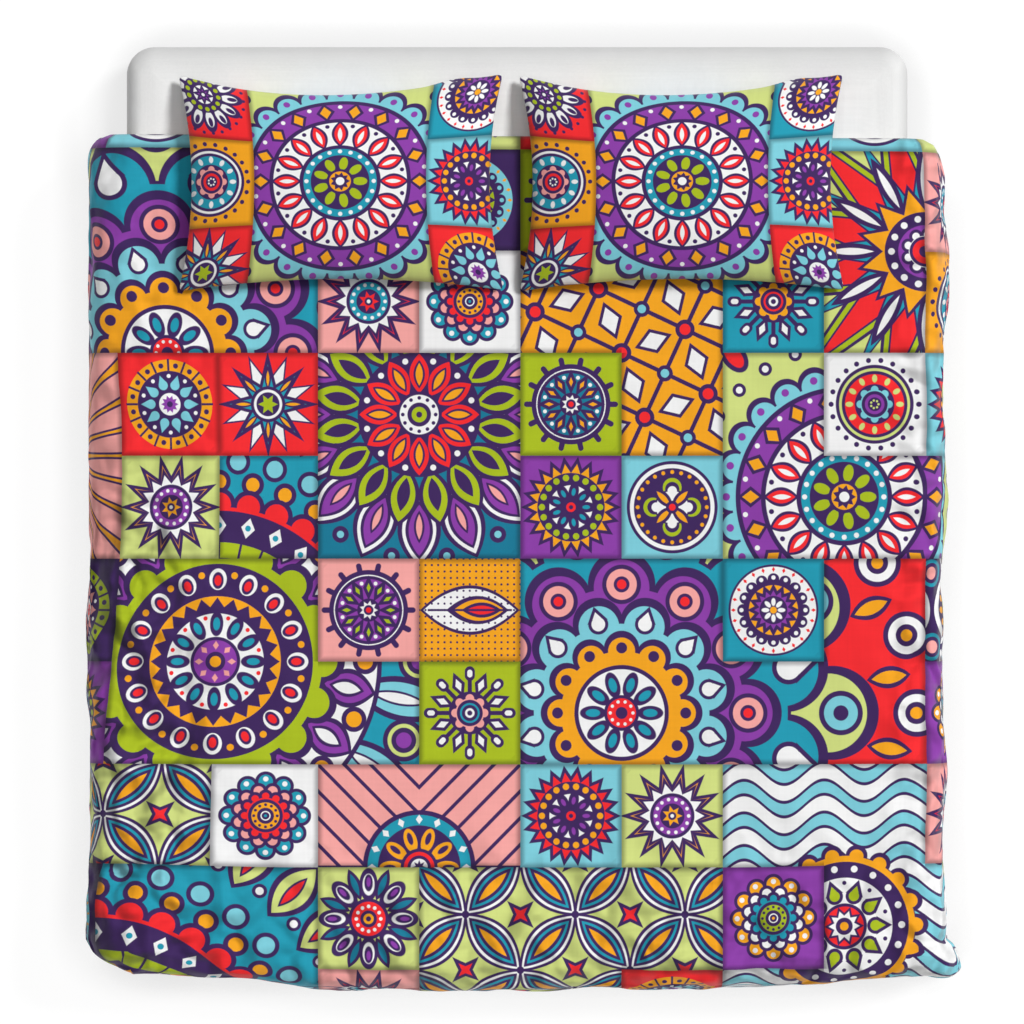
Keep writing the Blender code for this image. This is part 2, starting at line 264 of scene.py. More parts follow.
# Pillows: the outline of the seam, the filled form over and under it, how the corners droop, how the back
# bulges and rests, where the pillows lie, the size to which the panels are cut, and the puckers of the seam
PILLOW_WIDTH = 0.768
PILLOW_LENGTH = 0.514
PILLOW_SIDE_DRAW = 0.033
PILLOW_HEAD_DRAW = 0.050
PILLOW_FOOT_DRAW = 0.028
PILLOW_HEAD_DRAW_PLACE = -0.2
PILLOW_CROWN = 0.092
PILLOW_BELLY = 0.072
PILLOW_FULLNESS = 2.2
PILLOW_ROUNDNESS = 0.55
PILLOW_SEAM_HEIGHT = 0.054
PILLOW_CORNER_DROOP = 0.042
PILLOW_DROOP_POWER = 4
PILLOW_HEAD_SAG = 0.026
PILLOW_CORNER_RADIUS = 0.018
PILLOW_BACK_BULGE = 0.034
PILLOW_BULGE_PLACE = 0.95
PILLOW_BULGE_REACH = 0.05
PILLOW_BULGE_ONSET = 0.33
PILLOW_BULGES = ((0.5, -0.86, 0.12), (1.0, 0.74, 0.22))
PILLOW_REST_GAP = 0.0015
PILLOW_STEP_REACH = 0.12
PILLOW_MIDDLE_Y = 0.749
PILLOW_TURN = math.radians(0.2)
PILLOW_CUT_WIDTH = 0.794
PILLOW_CUT_LENGTH = 0.545
PILLOW_CELLS = 30
PILLOW_PUCKER = 0.0016
PILLOW_PUCKER_WAVES = (0.071, 0.043, 0.027)
PILLOW_PUCKER_PHASE = 11
PILLOW_PUCKER_OFFSET = 3
PILLOW_PUCKER_FLAT = 0.8
PILLOW_FRAMES = 24
PILLOW_CAP = 0.016
PILLOW_SEWN = 0.9999
PILLOW_MIDDLE_X = {"pillow_left": -0.413, "pillow_right": 0.385}

# How the cover's cloth behaves while the pillow is filled: pressure from inside on soft, damped cloth
FILLING_CLOTH = {
    "quality": 6, "mass": 0.3, "use_pressure": True, "uniform_pressure_force": 4.0, "air_damping": 2,
    "tension_stiffness": 18, "compression_stiffness": 12, "shear_stiffness": 6, "bending_stiffness": 0.25,
    "tension_damping": 6, "compression_damping": 6,
}

# Cotton, in patterns to a millimetre: slubs are drawn 7 mm wide and about 170 mm long, threads 3 mm wide.
# The noise of the slubs both ways adds up to a sum in SLUB_SUMS, which gives a tone in SLUB_TONES.
SLUBS_ACROSS = 0.14
SLUBS_ALONG = 0.006
SLUB_SUMS = (0.6, 1.4)
SLUB_TONES = (0.93, 1.05)
THREAD_STRETCH = 1.05
THREAD_SCALE = 0.32
THREAD_BUMP = 0.0006

# Crumples of slack cloth, 40 to 80 mm wide: their scale to a metre, the depth of their bump in metres, and
# how strongly they show, by the slack and everywhere
CRUMPLE_SCALE = 12.0
CRUMPLE_BUMP = 0.15
CRUMPLE_BY_SLACK = 0.78
CRUMPLE_EVERYWHERE = 0.04

# The shading printed along the sides of a patch: its width in millimetres and its strength
BORDER_WIDTH = 16.0
BORDER_STRENGTH = 0.62

# Light and camera: the view is VIEW_WIDTH wide at the height VIEW_LEVEL
CAMERA_PLACE = (-0.012, -0.023, 30.0)
VIEW_LEVEL = 0.40
VIEW_WIDTH = 2.4
AMBIENT = 0.24

# The floor glows white, and ambient occlusion dims its glow to paint a soft shadow round the set, where the
# set
# would hide the lamps: its glow in the open and in the deepest painted shadow, how far the shadow reaches,
# the way from which the shading light comes, and the shares of open sky at which the shadow is full and gone
FLOOR_GLOW = 0.93
FLOOR_SHADE = 0.72
SHADE_REACH = 0.12
SHADE_LEAN = (0.72, 0.66, 0.20)
SHADE_FULL = 0.70
SHADE_NONE = 0.96

# Each lamp is a broad even one like the sun: where it shines from, how wide it looks in degrees, its strength
LAMPS = (
    ("overhead", (0.0, 0.0, 1.0), 40, 0.42),
    ("key", (0.66, 0.38, 1.0), 14, 2.40),
)
LAMP_DISTANCE = 8


def linear(hex_colour):
    """An sRGB hex colour as a linear RGBA colour."""
    levels = [int(hex_colour[place:place + 2], 16) / 255 for place in (1, 3, 5)]
    curve = [level / 12.92 if level <= 0.04045 else ((level + 0.055) / 1.055) ** 2.4 for level in levels]
    return (*curve, 1.0)


# Inks of the print
INDIGO = linear("#3B1F5B")
TEAL = linear("#1899B2")
DEEP_TEAL = linear("#0A7896")
SKY = linear("#7CCBD9")
RED = linear("#F4242A")
ORANGE = linear("#F5A515")
LIME = linear("#A9BC16")
PALE_LIME = linear("#CFDB80")
PURPLE = linear("#8A3AA5")
PINK = linear("#F3A4A0")
WHITE = linear("#F2F2F2")
BORDER_SHADE = linear("#5A5560")

# A drawn form: its kind, its ink, the radius at which it lies (or its own), how often it repeats round the
# middle, half its width (a star's is the radius of its valleys), half its length, how far it is turned, in
# sectors, and half the width of its indigo outline. With a cell it repeats on a square grid of that pitch
# too, moved by shift cells.
Form = namedtuple("Form", "kind ink radius count size length turn line cell shift")
Form.__new__.__defaults__ = (0.0, 1, 0.0, 0.0, 0.0, 3.8, 0.0, 0.0)

# Half widths of a finer and a bolder outline, how softly an ink ends, and the sine and cosine of 45 degrees
FINE = 2.6
BOLD = 5.6
INK_EDGE = 1.5
SLANT = 0.707


def bare(kind, ink, *measures, **more):
    """A form without an outline."""
    return Form(kind, ink, *measures, line=0, **more)


# A motif is drawn on its ground from its largest form to its smallest
Motif = namedtuple("Motif", "ground forms")
MOTIFS = {
    "aster": Motif(PALE_LIME, (
        bare("beads", INDIGO, 106, 26, 4.6),
        Form("petals", RED, 68, 13, 15, 29),
        bare("petals", INDIGO, 76, 13, 6, 13),
        bare("disc", INDIGO, 50),
        bare("beads", ORANGE, 40, 13, 6),
        Form("disc", WHITE, 29),
        Form("star", TEAL, 23, 8, 12, line=FINE),
        Form("disc", RED, 7, line=FINE),
    )),
    "wheel": Motif(LIME, (
        bare("pills", INDIGO, 98, 14, 6.5, 7),
        Form("disc", WHITE, 88, line=BOLD),
        Form("disc", DEEP_TEAL, 76),
        Form("lozenges", ORANGE, 52, 12, 9, 20),
        bare("beads", WHITE, 64, 12, 4.5, turn=0.5),
        bare("disc", INDIGO, 27),
        bare("star", WHITE, 22, 9, 14),
        Form("disc", RED, 9, line=FINE),
    )),
    "sunburst": Motif(PURPLE, (
        Form("star", ORANGE, 110, 22, 86),
        bare("disc", INDIGO, 80),
        bare("beads", LIME, 69, 18, 7.5),
        Form("disc", WHITE, 55),
        Form("petals", TEAL, 36, 9, 8.5, 16),
        Form("disc", RED, 15),
        bare("disc", INDIGO, 5),
    )),
    "quatrefoil": Motif(SKY, (
        Form("disc", WHITE, 104),
        bare("disc", INDIGO, 91),
        bare("beads", ORANGE, 82, 24, 4.6),
        Form("scallops", LIME, 46, 4, 26),
        bare("scallops", INDIGO, 42, 4, 17),
        bare("scallops", WHITE, 38, 4, 11),
        Form("leaves", ORANGE, 30, 4, 10, 28, turn=0.5),
        bare("disc", INDIGO, 15),
        bare("disc", RED, 8),
    )),
    "thistle": Motif(PALE_LIME, (
        Form("star", ORANGE, 112, 14, 66),
        bare("star", INDIGO, 94, 14, 60),
        bare("star", WHITE, 76, 14, 55),
        Form("disc", PURPLE, 49),
        bare("beads", WHITE, 39, 14, 4.2),
        bare("disc", INDIGO, 29),
        bare("star", ORANGE, 24, 7, 13),
        Form("disc", WHITE, 7, line=FINE),
    )),
    "cog": Motif(ORANGE, (
        bare("beads", INDIGO, 103, 22, 6),
        bare("disc", INDIGO, 92),
        bare("disc", WHITE, 84),
        Form("disc", TEAL, 74),
        bare("petals", WHITE, 60, 12, 6, 9),
        bare("disc", INDIGO, 47),
        bare("scallops", PINK, 34, 8, 9),
        Form("disc", RED, 27),
        bare("disc", INDIGO, 16),
        bare("beads", WHITE, 9, 7, 2.6),
    )),
    "target": Motif(TEAL, (
        Form("disc", WHITE, 104, line=FINE),
        bare("lozenges", RED, 95, 24, 4, 6),
        bare("scallops", INDIGO, 72, 16, 14),
        bare("beads", WHITE, 76, 16, 5),
        Form("disc", ORANGE, 62),
        Form("star", PURPLE, 54, 16, 40),
        bare("disc", INDIGO, 33),
        bare("petals", WHITE, 19, 8, 5, 9),
        bare("disc", ORANGE, 8),
    )),
    "rosette": Motif(WHITE, (
        Form("scallops", TEAL, 80, 12, 20),
        bare("beads", WHITE, 86, 12, 6),
        Form("scallops", PINK, 60, 12, 15, turn=0.5),
        Form("scallops", RED, 46, 12, 12),
        Form("disc", ORANGE, 35),
        bare("beads", INDIGO, 26, 12, 3.4),
        Form("disc", WHITE, 15),
        Form("disc", TEAL, 6, line=FINE),
    )),
    "compass": Motif(RED, (
        bare("star", INDIGO, 122, 8, 54, turn=0.5),
        bare("star", WHITE, 108, 8, 48, turn=0.5),
        Form("star", TEAL, 108, 8, 44),
        bare("leaves", INDIGO, 62, 8, 8, 28),
        bare("leaves", ORANGE, 60, 8, 3.6, 18),
        Form("disc", WHITE, 38),
        bare("disc", INDIGO, 28),
        bare("star", LIME, 24, 6, 12),
    )),
    "leaf": Motif(ORANGE, (
        Form("leaves", WHITE, 0, 1, 54, 114),
        bare("beads", INDIGO, 0, 1, 2.6, cell=15),
        bare("leaves", INDIGO, 18, 1, 33, 74),
        bare("leaves", ORANGE, 22, 1, 25, 60),
        Form("leaves", RED, 28, 1, 14, 42),
        bare("bars", INDIGO, 0, 1, 2.6, 100),
    )),
    "sprigs": Motif(SKY, (
        bare("disc", INDIGO, 11, cell=80),
        bare("beads", WHITE, 20, 6, 5.6, cell=80),
        bare("disc", WHITE, 4, cell=80),
        Form("leaves", LIME, 15, 4, 6, 14, line=FINE, cell=80, shift=0.5),
        bare("disc", INDIGO, 6, cell=80, shift=0.5),
    )),
    "garden": Motif(PALE_LIME, (
        Form("leaves", DEEP_TEAL, 86, 8, 11, 34, turn=0.5),
        Form("petals", WHITE, 80, 8, 18, 32),
        bare("petals", INDIGO, 84, 8, 10, 20),
        bare("petals", PURPLE, 86, 8, 5, 11),
        bare("disc", INDIGO, 48),
        bare("disc", RED, 40),
        bare("beads", WHITE, 29, 12, 4.2),
        Form("disc", ORANGE, 16),
        bare("disc", INDIGO, 6),
    )),
    "lantern": Motif(INDIGO, (
        bare("disc", LIME, 104),
        bare("bars", INDIGO, 92, 16, 2.6, 14),
        bare("beads", INDIGO, 91, 16, 6, turn=0.5),
        bare("disc", INDIGO, 78),
        bare("drops", PINK, 46, 10, 11, 24),
        bare("beads", WHITE, 66, 10, 4.6, turn=0.5),
        bare("disc", WHITE, 26),
        bare("star", RED, 21, 10, 14),
        bare("disc", INDIGO, 7),
    )),
    "snow": Motif(TEAL, (
        bare("bars", INDIGO, 60, 8, 5, 48),
        bare("pills", INDIGO, 92, 8, 12, 5),
        bare("pills", WHITE, 92, 8, 6, 3),
        Form("lozenges", WHITE, 70, 8, 12, 24, turn=0.5),
        bare("disc", INDIGO, 50),
        bare("scallops", ORANGE, 34, 8, 10),
        Form("disc", RED, 27),
        Form("disc", WHITE, 15),
        bare("disc", INDIGO, 6),
    )),
    "fan": Motif(TEAL, (
        bare("leaves", INDIGO, 600, 32, 50, 84),
        bare("leaves", PALE_LIME, 600, 32, 36, 72),
        Form("leaves", RED, 596, 32, 12, 44, line=FINE),
        Form("beads", WHITE, 548, 32, 13, turn=0.5),
        bare("beads", INDIGO, 468, 32, 30, turn=0.5),
        bare("beads", SKY, 468, 32, 20, turn=0.5),
        Form("beads", ORANGE, 420, 32, 22, line=BOLD),
        Form("scallops", RED, 366, 32, 34, line=BOLD),
        bare("disc", INDIGO, 352),
        bare("lozenges", WHITE, 318, 28, 17, 24),
        bare("beads", TEAL, 318, 28, 7),
        Form("disc", LIME, 282),
        bare("bars", INDIGO, 262, 32, 3, 20),
        bare("disc", INDIGO, 242),
        bare("drops", ORANGE, 184, 20, 21, 44),
        bare("drops", RED, 182, 20, 11, 26),
        Form("disc", WHITE, 150),
        Form("scallops", PURPLE, 118, 16, 18),
        Form("disc", PINK, 104),
        bare("beads", INDIGO, 88, 16, 7),
        bare("disc", INDIGO, 70),
        bare("petals", WHITE, 44, 10, 9, 18),
        bare("disc", RED, 20),
    )),
    "lattice": Motif(PALE_LIME, (
        Form("leaves", WHITE, 92, 4, 42, 92, cell=184),
        Form("leaves", TEAL, 92, 4, 28, 76, cell=184),
        Form("leaves", ORANGE, 92, 4, 14, 54, cell=184),
        bare("disc", INDIGO, 9, cell=184),
        Form("star", RED, 34, 4, 13, cell=184, shift=0.5),
    )),
    "ripples": Motif(INDIGO, (
        bare("disc", WHITE, 80, cell=172),
        bare("disc", INDIGO, 66, cell=172),
        bare("beads", ORANGE, 54, 12, 8, cell=172),
        bare("disc", LIME, 40, cell=172),
        bare("disc", INDIGO, 30, cell=172),
        bare("star", WHITE, 25, 8, 14, cell=172),
        bare("disc", RED, 8, cell=172),
        Form("disc", TEAL, 36, cell=172, shift=0.5),
        bare("disc", INDIGO, 24, cell=172, shift=0.5),
        bare("disc", PINK, 15, cell=172, shift=0.5),
    )),
    "trellis": Motif(ORANGE, (
        Form("lozenges", WHITE, 80, 4, 26, 40, cell=160),
        bare("bars", INDIGO, 60, 4, 5, 60, turn=0.5, cell=160),
        bare("disc", INDIGO, 23, cell=160),
        bare("disc", RED, 13, cell=160),
        bare("disc", INDIGO, 19, cell=160, shift=0.5),
        bare("disc", SKY, 10, cell=160, shift=0.5),
    )),
    "billows": Motif(WHITE, (
        Form("waves", SKY, 26, 1, 17, 190, cell=76),
        bare("scallops", INDIGO, 168, 18, 26),
        bare("scallops", ORANGE, 166, 18, 17),
        bare("disc", INDIGO, 152),
        bare("beads", WHITE, 136, 18, 8),
        Form("disc", WHITE, 118),
        Form("drops", LIME, 74, 10, 16, 32),
        bare("beads", INDIGO, 102, 10, 5, turn=0.5),
        Form("disc", RED, 50),
        Form("star", WHITE, 42, 10, 28, line=FINE),
        bare("disc", INDIGO, 20),
        bare("disc", ORANGE, 10),
    )),
    "twigs": Motif(PINK, (
        bare("chevrons", INDIGO, 0, 1, 4.2, cell=44),
        bare("bars", INDIGO, 0, 1, 4.4, 900, turn=0.5),
        Form("disc", TEAL, 128, line=BOLD),
        bare("lozenges", WHITE, 112, 16, 8, 11),
        bare("disc", INDIGO, 98),
        bare("petals", ORANGE, 66, 10, 15, 28),
        bare("petals", INDIGO, 70, 10, 6.5, 15),
        Form("disc", RED, 40),
        Form("disc", WHITE, 24),
        bare("star", INDIGO, 17, 8, 9),
    )),
    "plume": Motif(INDIGO, (
        Form("leaves", RED, 330, 28, 32, 230, line=FINE),
        bare("leaves", ORANGE, 330, 28, 15, 200),
        Form("leaves", PINK, 330, 28, 26, 220, turn=0.5, line=FINE),
        Form("disc", SKY, 122, line=BOLD),
        bare("beads", INDIGO, 104, 20, 7),
        Form("disc", WHITE, 86),
        Form("star", LIME, 76, 14, 54),
        bare("disc", INDIGO, 42),
        bare("disc", RED, 26),
    )),
    "great_star": Motif(TEAL, (
        Form("beads", PALE_LIME, 480, 16, 44, line=BOLD),
        Form("beads", PURPLE, 480, 16, 24, line=BOLD),
        bare("leaves", INDIGO, 450, 16, 52, 130, turn=0.5),
        bare("leaves", SKY, 450, 16, 38, 110, turn=0.5),
        Form("leaves", WHITE, 440, 16, 14, 66, turn=0.5, line=FINE),
        Form("disc", WHITE, 386, line=BOLD),
        Form("beads", ORANGE, 352, 16, 24, line=BOLD),
        Form("leaves", PURPLE, 318, 16, 40, 62, turn=0.5, line=BOLD),
        Form("leaves", WHITE, 314, 16, 17, 38, turn=0.5),
        bare("scallops", INDIGO, 258, 16, 46),
        bare("scallops", LIME, 250, 16, 36),
        bare("disc", INDIGO, 228),
        bare("petals", WHITE, 192, 16, 21, 25),
        Form("petals", RED, 189, 16, 11, 16, line=FINE),
        bare("beads", ORANGE, 204, 16, 8, turn=0.5),
        Form("disc", ORANGE, 158, line=BOLD),
        bare("star", INDIGO, 150, 24, 128),
        Form("disc", WHITE, 118, line=BOLD),
        Form("petals", TEAL, 88, 12, 12, 22),
        bare("beads", RED, 104, 12, 5, turn=0.5),
        Form("disc", PURPLE, 54),
        bare("lozenges", PINK, 38, 8, 7, 10),
        bare("disc", INDIGO, 23),
        bare("disc", ORANGE, 13),
    )),
    "great_rosette": Motif(DEEP_TEAL, (
        Form("beads", SKY, 336, 16, 14, turn=0.5, line=BOLD),
        Form("leaves", WHITE, 270, 16, 46, 86, line=BOLD),
        Form("leaves", PURPLE, 270, 16, 29, 64),
        Form("leaves", PINK, 262, 16, 10, 34, line=FINE),
        Form("leaves", LIME, 196, 16, 34, 64, turn=0.5, line=BOLD),
        bare("leaves", INDIGO, 190, 16, 15, 40, turn=0.5),
        bare("disc", INDIGO, 146),
        bare("leaves", RED, 96, 12, 23, 46),
        Form("leaves", ORANGE, 94, 12, 11, 30, line=FINE),
        bare("beads", WHITE, 128, 12, 7, turn=0.5),
        Form("disc", WHITE, 50),
        bare("beads", INDIGO, 39, 12, 4.4),
        bare("disc", INDIGO, 28),
        bare("disc", LIME, 18),
        bare("disc", INDIGO, 7),
    )),
    "great_wheel": Motif(PALE_LIME, (
        bare("petals", INDIGO, 420, 28, 28, 44),
        bare("petals", RED, 420, 28, 17, 32),
        bare("beads", INDIGO, 352, 28, 16, turn=0.5),
        bare("beads", WHITE, 352, 28, 8, turn=0.5),
        bare("scallops", INDIGO, 272, 24, 40),
        bare("scallops", SKY, 266, 24, 32),
        bare("beads", PURPLE, 280, 24, 9),
        Form("disc", PURPLE, 252, line=BOLD),
        bare("lozenges", INDIGO, 222, 18, 25, 31),
        bare("lozenges", ORANGE, 222, 18, 15, 20),
        bare("beads", WHITE, 238, 18, 6, turn=0.5),
        Form("disc", WHITE, 192, line=BOLD),
        Form("leaves", RED, 150, 16, 19, 38),
        bare("leaves", WHITE, 148, 16, 6, 22),
        bare("beads", INDIGO, 176, 16, 6, turn=0.5),
        Form("disc", TEAL, 108, line=BOLD),
        bare("beads", WHITE, 94, 20, 6),
        bare("disc", INDIGO, 82),
        bare("petals", LIME, 56, 9, 12, 20),
        Form("disc", ORANGE, 34),
        bare("star", INDIGO, 28, 9, 19),
        bare("disc", WHITE, 12),
    )),
    "great_burst": Motif(PALE_LIME, (
        bare("star", INDIGO, 480, 12, 205, turn=0.5),
        bare("star", LIME, 452, 12, 185, turn=0.5),
        bare("star", INDIGO, 392, 12, 158, turn=0.5),
        bare("star", RED, 366, 12, 146, turn=0.5),
        bare("star", INDIGO, 330, 12, 122),
        bare("star", TEAL, 306, 12, 110),
        Form("leaves", WHITE, 176, 12, 14, 70, line=BOLD),
        bare("star", INDIGO, 168, 12, 112, turn=0.5),
        bare("star", ORANGE, 152, 12, 100, turn=0.5),
        bare("disc", INDIGO, 96),
        bare("beads", WHITE, 80, 14, 8),
        bare("disc", PURPLE, 64),
        Form("scallops", WHITE, 42, 9, 13),
        Form("disc", RED, 33),
        bare("disc", INDIGO, 14),
    )),
    "great_shell": Motif(RED, (
        bare("beads", INDIGO, 700, 24, 56),
        bare("beads", WHITE, 700, 24, 44),
        bare("beads", INDIGO, 700, 24, 26),
        bare("beads", ORANGE, 700, 24, 14),
        bare("leaves", INDIGO, 640, 24, 26, 54, turn=0.5),
        bare("leaves", ORANGE, 640, 24, 15, 42, turn=0.5),
        bare("scallops", INDIGO, 500, 12, 110),
        bare("scallops", PALE_LIME, 490, 12, 92),
        bare("beads", INDIGO, 520, 12, 52),
        bare("beads", SKY, 520, 12, 40),
        bare("beads", INDIGO, 520, 12, 18),
        bare("scallops", INDIGO, 402, 12, 102, turn=0.5),
        bare("scallops", TEAL, 394, 12, 86, turn=0.5),
        Form("drops", WHITE, 410, 12, 34, 70, turn=0.5, line=BOLD),
        bare("scallops", INDIGO, 300, 12, 80),
        bare("scallops", PURPLE, 292, 12, 66),
        bare("beads", INDIGO, 300, 12, 46),
        bare("beads", PINK, 300, 12, 36),
        Form("beads", RED, 300, 12, 15),
        bare("scallops", INDIGO, 216, 12, 60, turn=0.5),
        bare("scallops", SKY, 208, 12, 48, turn=0.5),
        Form("drops", WHITE, 214, 12, 20, 36, turn=0.5),
        bare("scallops", INDIGO, 150, 12, 42),
        bare("scallops", ORANGE, 144, 12, 32),
        bare("beads", INDIGO, 152, 12, 13),
        bare("disc", INDIGO, 112),
        bare("disc", WHITE, 102),
        Form("petals", TEAL, 68, 10, 13, 24),
        Form("disc", RED, 38),
        bare("beads", WHITE, 27, 10, 3.8),
        bare("disc", INDIGO, 14),
    )),
}

# The same motifs in other inks: the motif, its new ground and the inks that change
RECOLOURED = {
    "red_aster": ("aster", RED, {RED: WHITE, ORANGE: LIME, TEAL: PURPLE}),
    "pink_wheel": ("wheel", PINK, {DEEP_TEAL: PURPLE, ORANGE: LIME}),
    "teal_sunburst": ("sunburst", SKY, {ORANGE: RED, LIME: ORANGE, TEAL: PURPLE}),
    "pink_thistle": ("thistle", PINK, {ORANGE: RED, PURPLE: TEAL}),
    "white_cog": ("cog", WHITE, {WHITE: PALE_LIME, TEAL: RED, PINK: SKY, RED: PURPLE}),
    "indigo_target": ("target", INDIGO, {ORANGE: LIME, PURPLE: RED, WHITE: SKY, RED: ORANGE}),
    "purple_rosette": ("rosette", PURPLE, {TEAL: ORANGE, PINK: WHITE, RED: TEAL, ORANGE: LIME}),
    "lime_compass": ("compass", LIME, {TEAL: RED, ORANGE: WHITE, LIME: ORANGE}),
    "red_lantern": ("lantern", RED, {LIME: ORANGE, PINK: SKY, RED: PURPLE}),
    "lime_snow": ("snow", LIME, {ORANGE: PINK, RED: TEAL}),
}
for name, (motif, ground, swaps) in RECOLOURED.items():
    forms = tuple(form._replace(ink=swaps.get(form.ink, form.ink)) for form in MOTIFS[motif].forms)
    MOTIFS[name] = Motif(ground, forms)

# The patchwork, from the head down to the foot and from left to right, a letter to a patch.
# A dot stands where a block lies open.
PATCH_LETTERS = {
    "a": "aster", "b": "red_aster", "c": "cog", "d": "white_cog", "e": "lime_compass", "f": "target",
    "g": "garden", "h": "indigo_target", "i": "pink_thistle", "k": "lime_snow", "l": "leaf",
    "m": "red_lantern", "n": "compass", "o": "lantern", "p": "purple_rosette", "q": "quatrefoil",
    "r": "rosette", "s": "sprigs", "t": "thistle", "u": "sunburst", "v": "teal_sunburst", "w": "wheel",
    "x": "pink_wheel", "y": "snow",
}
PATCH_ROWS = (
    "ruqwcamfuqgt",
    "c...bhwo..iq",
    "g...ir..y.cm",
    "..mn..w..dv.",
    "..t...uq...x",
    ".o..xl..f..w",
    ".u...k....pa",
    "q..r..vt..ib",
    "ch..g...p..e",
    "pw..i..m...u",
    "ucmgwqdtfncs",
)

# A block of several patches: its first column and row, its size in patches, its motif, where the motif's
# middle lies in it, in patches from its left and its top, and the motif's turn in degrees
Block = namedtuple("Block", "column row wide high motif across down turn")
BLOCKS = (
    Block(1, 1, 3, 2, "great_shell", 1.5, 2.0, 0),
    Block(8, 1, 2, 2, "great_burst", 2.0, 1.0, 0),
    Block(0, 3, 2, 2, "plume", 0.9, 1.0, 0),
    Block(4, 2, 2, 3, "great_rosette", 1.0, 1.6, 0),
    Block(6, 2, 3, 2, "trellis", 1.0, 1.0, 20),
    Block(3, 4, 1, 1, "fan", 0.0, 2.0, 0),
    Block(8, 3, 4, 2, "great_wheel", 1.2, 1.4, 0),
    Block(0, 5, 1, 2, "lattice", 1.0, 0.5, 45),
    Block(9, 5, 3, 1, "ripples", 0.0, 0.5, 0),
    Block(2, 5, 3, 2, "great_star", 1.0, 1.0, 0),
    Block(6, 5, 4, 3, "great_shell", 1.0, 1.5, 0),
    Block(1, 7, 2, 1, "lattice", 1.0, 0.5, 45),
    Block(4, 7, 2, 2, "twigs", 1.0, 1.0, 0),
    Block(2, 8, 2, 2, "fan", 0.0, 2.0, 0),
    Block(5, 8, 3, 2, "lattice", 1.0, 1.0, 45),
    Block(8, 7, 3, 3, "billows", 1.2, 1.6, 0),
)
PILLOW_ROWS = (
    "b..f",
    "c..v",
    "n..m",
)
PILLOW_BLOCKS = (
    Block(1, 0, 2, 3, "great_wheel", 1.0, 1.5, 0),
)


def smooth_step(value):
    """Rise softly from 0 to 1 as the value goes from 0 to 1."""
    share = np.clip(value, 0, 1)
    return share * share * (3 - 2 * share)


def bell(value, place, width):
    """A round hump that is 1 at the place and fades over the width."""
    return np.exp(-((value - place) / width) ** 2)


def swing(value, flutes):
    """How far the flutes at this place push the hem out."""
    return sum(flute.swing * bell(value, flute.place, flute.width) for flute in flutes)


def along_across(x, y, fold):
    """x and y measured along and across a swell or crease, from its middle."""
    turn = math.radians(fold.turn)
    along = (x - fold.x) * math.cos(turn) + (y - fold.y) * math.sin(turn)
    across = (y - fold.y) * math.cos(turn) - (x - fold.x) * math.sin(turn)
    return along, across


def swell_height(x, y):
    """How far the filling rises above its even loft: a sum of long round humps."""
    total = np.zeros_like(x)
    for swell in SWELLS:
        along, across = along_across(x, y, swell)
        total += swell.height * bell(along, 0, swell.along) * bell(across, 0, swell.across)
    return total


def crease_depth(x, y):
    """How far the creases sink the cover: bell-shaped troughs whose middle lines bend like shallow arcs."""
    total = np.zeros_like(x)
    for crease in CREASES:
        along, across = along_across(x, y, crease)
        bent = across - crease.bend * (along / crease.along) ** 2
        total += crease.depth * bell(along, 0, crease.along) * bell(bent, 0, crease.across)
    return total


def slackness(x, y):
    """How slack the cover lies, from 0 to 1: the greatest of three soft zones, left, foot and right."""
    start, reach, measure = SLACK_LEFT
    from_head = smooth_step((SLACK_HEAD_Y - y) / SLACK_HEAD_REACH)
    towards_foot = SLACK_HEAD_SHARE + (1 - SLACK_HEAD_SHARE) * from_head
    left = measure * smooth_step((-x - start) / reach) * towards_foot
    start, reach, measure = SLACK_FOOT
    foot = measure * smooth_step((-y - start) / reach)
    start, reach, measure = SLACK_RIGHT
    right = measure * smooth_step((x - start) / reach)
    return np.maximum(np.maximum(left, foot), right)


def ripple_height(x, y):
    """Unevenness of the cover: for each ripple, a sum of sine waves, each turned by the golden angle."""
    total = np.zeros_like(x)
    for ripple in RIPPLES:
        phases = np.random.default_rng(ripple.seed).uniform(0, 2 * math.pi, RIPPLE_TERMS)
        for term, phase in enumerate(phases):
            way = ripple.seed + GOLDEN_ANGLE * term
            wave = ripple.wave * (RIPPLE_SHORTEST + RIPPLE_SPREAD * term / RIPPLE_TERMS)
            run = (x * math.cos(way) + y * math.sin(way)) / wave
            total += ripple.height / math.sqrt(RIPPLE_TERMS) * np.sin(2 * math.pi * run + phase)
    return total


def puckers(run, distance):
    """Puckers along a seam: three sine waves along it, fading with the distance from it."""
    waves = sum(np.sin(2 * math.pi * run / wave + PUCKER_PHASE * wave) for wave in PUCKER_WAVES)
    return PUCKER_HEIGHT * waves * np.exp(-distance / PUCKER_REACH)


def seam_ramp(distance):
    """Quarter-round rise of the loft from 0 at the sewn edge to 1 over the seam's reach."""
    share = np.clip(distance / DUVET_SEAM_REACH, 0, 1)
    return np.sqrt(1 - (1 - share) ** 2)


def head_edge(x):
    """Where the head edge lies: it runs slightly askew, lower on the right."""
    return HEAD_EDGE_Y - HEAD_EDGE_SKEW * (x - SKEW_PIVOT_X)


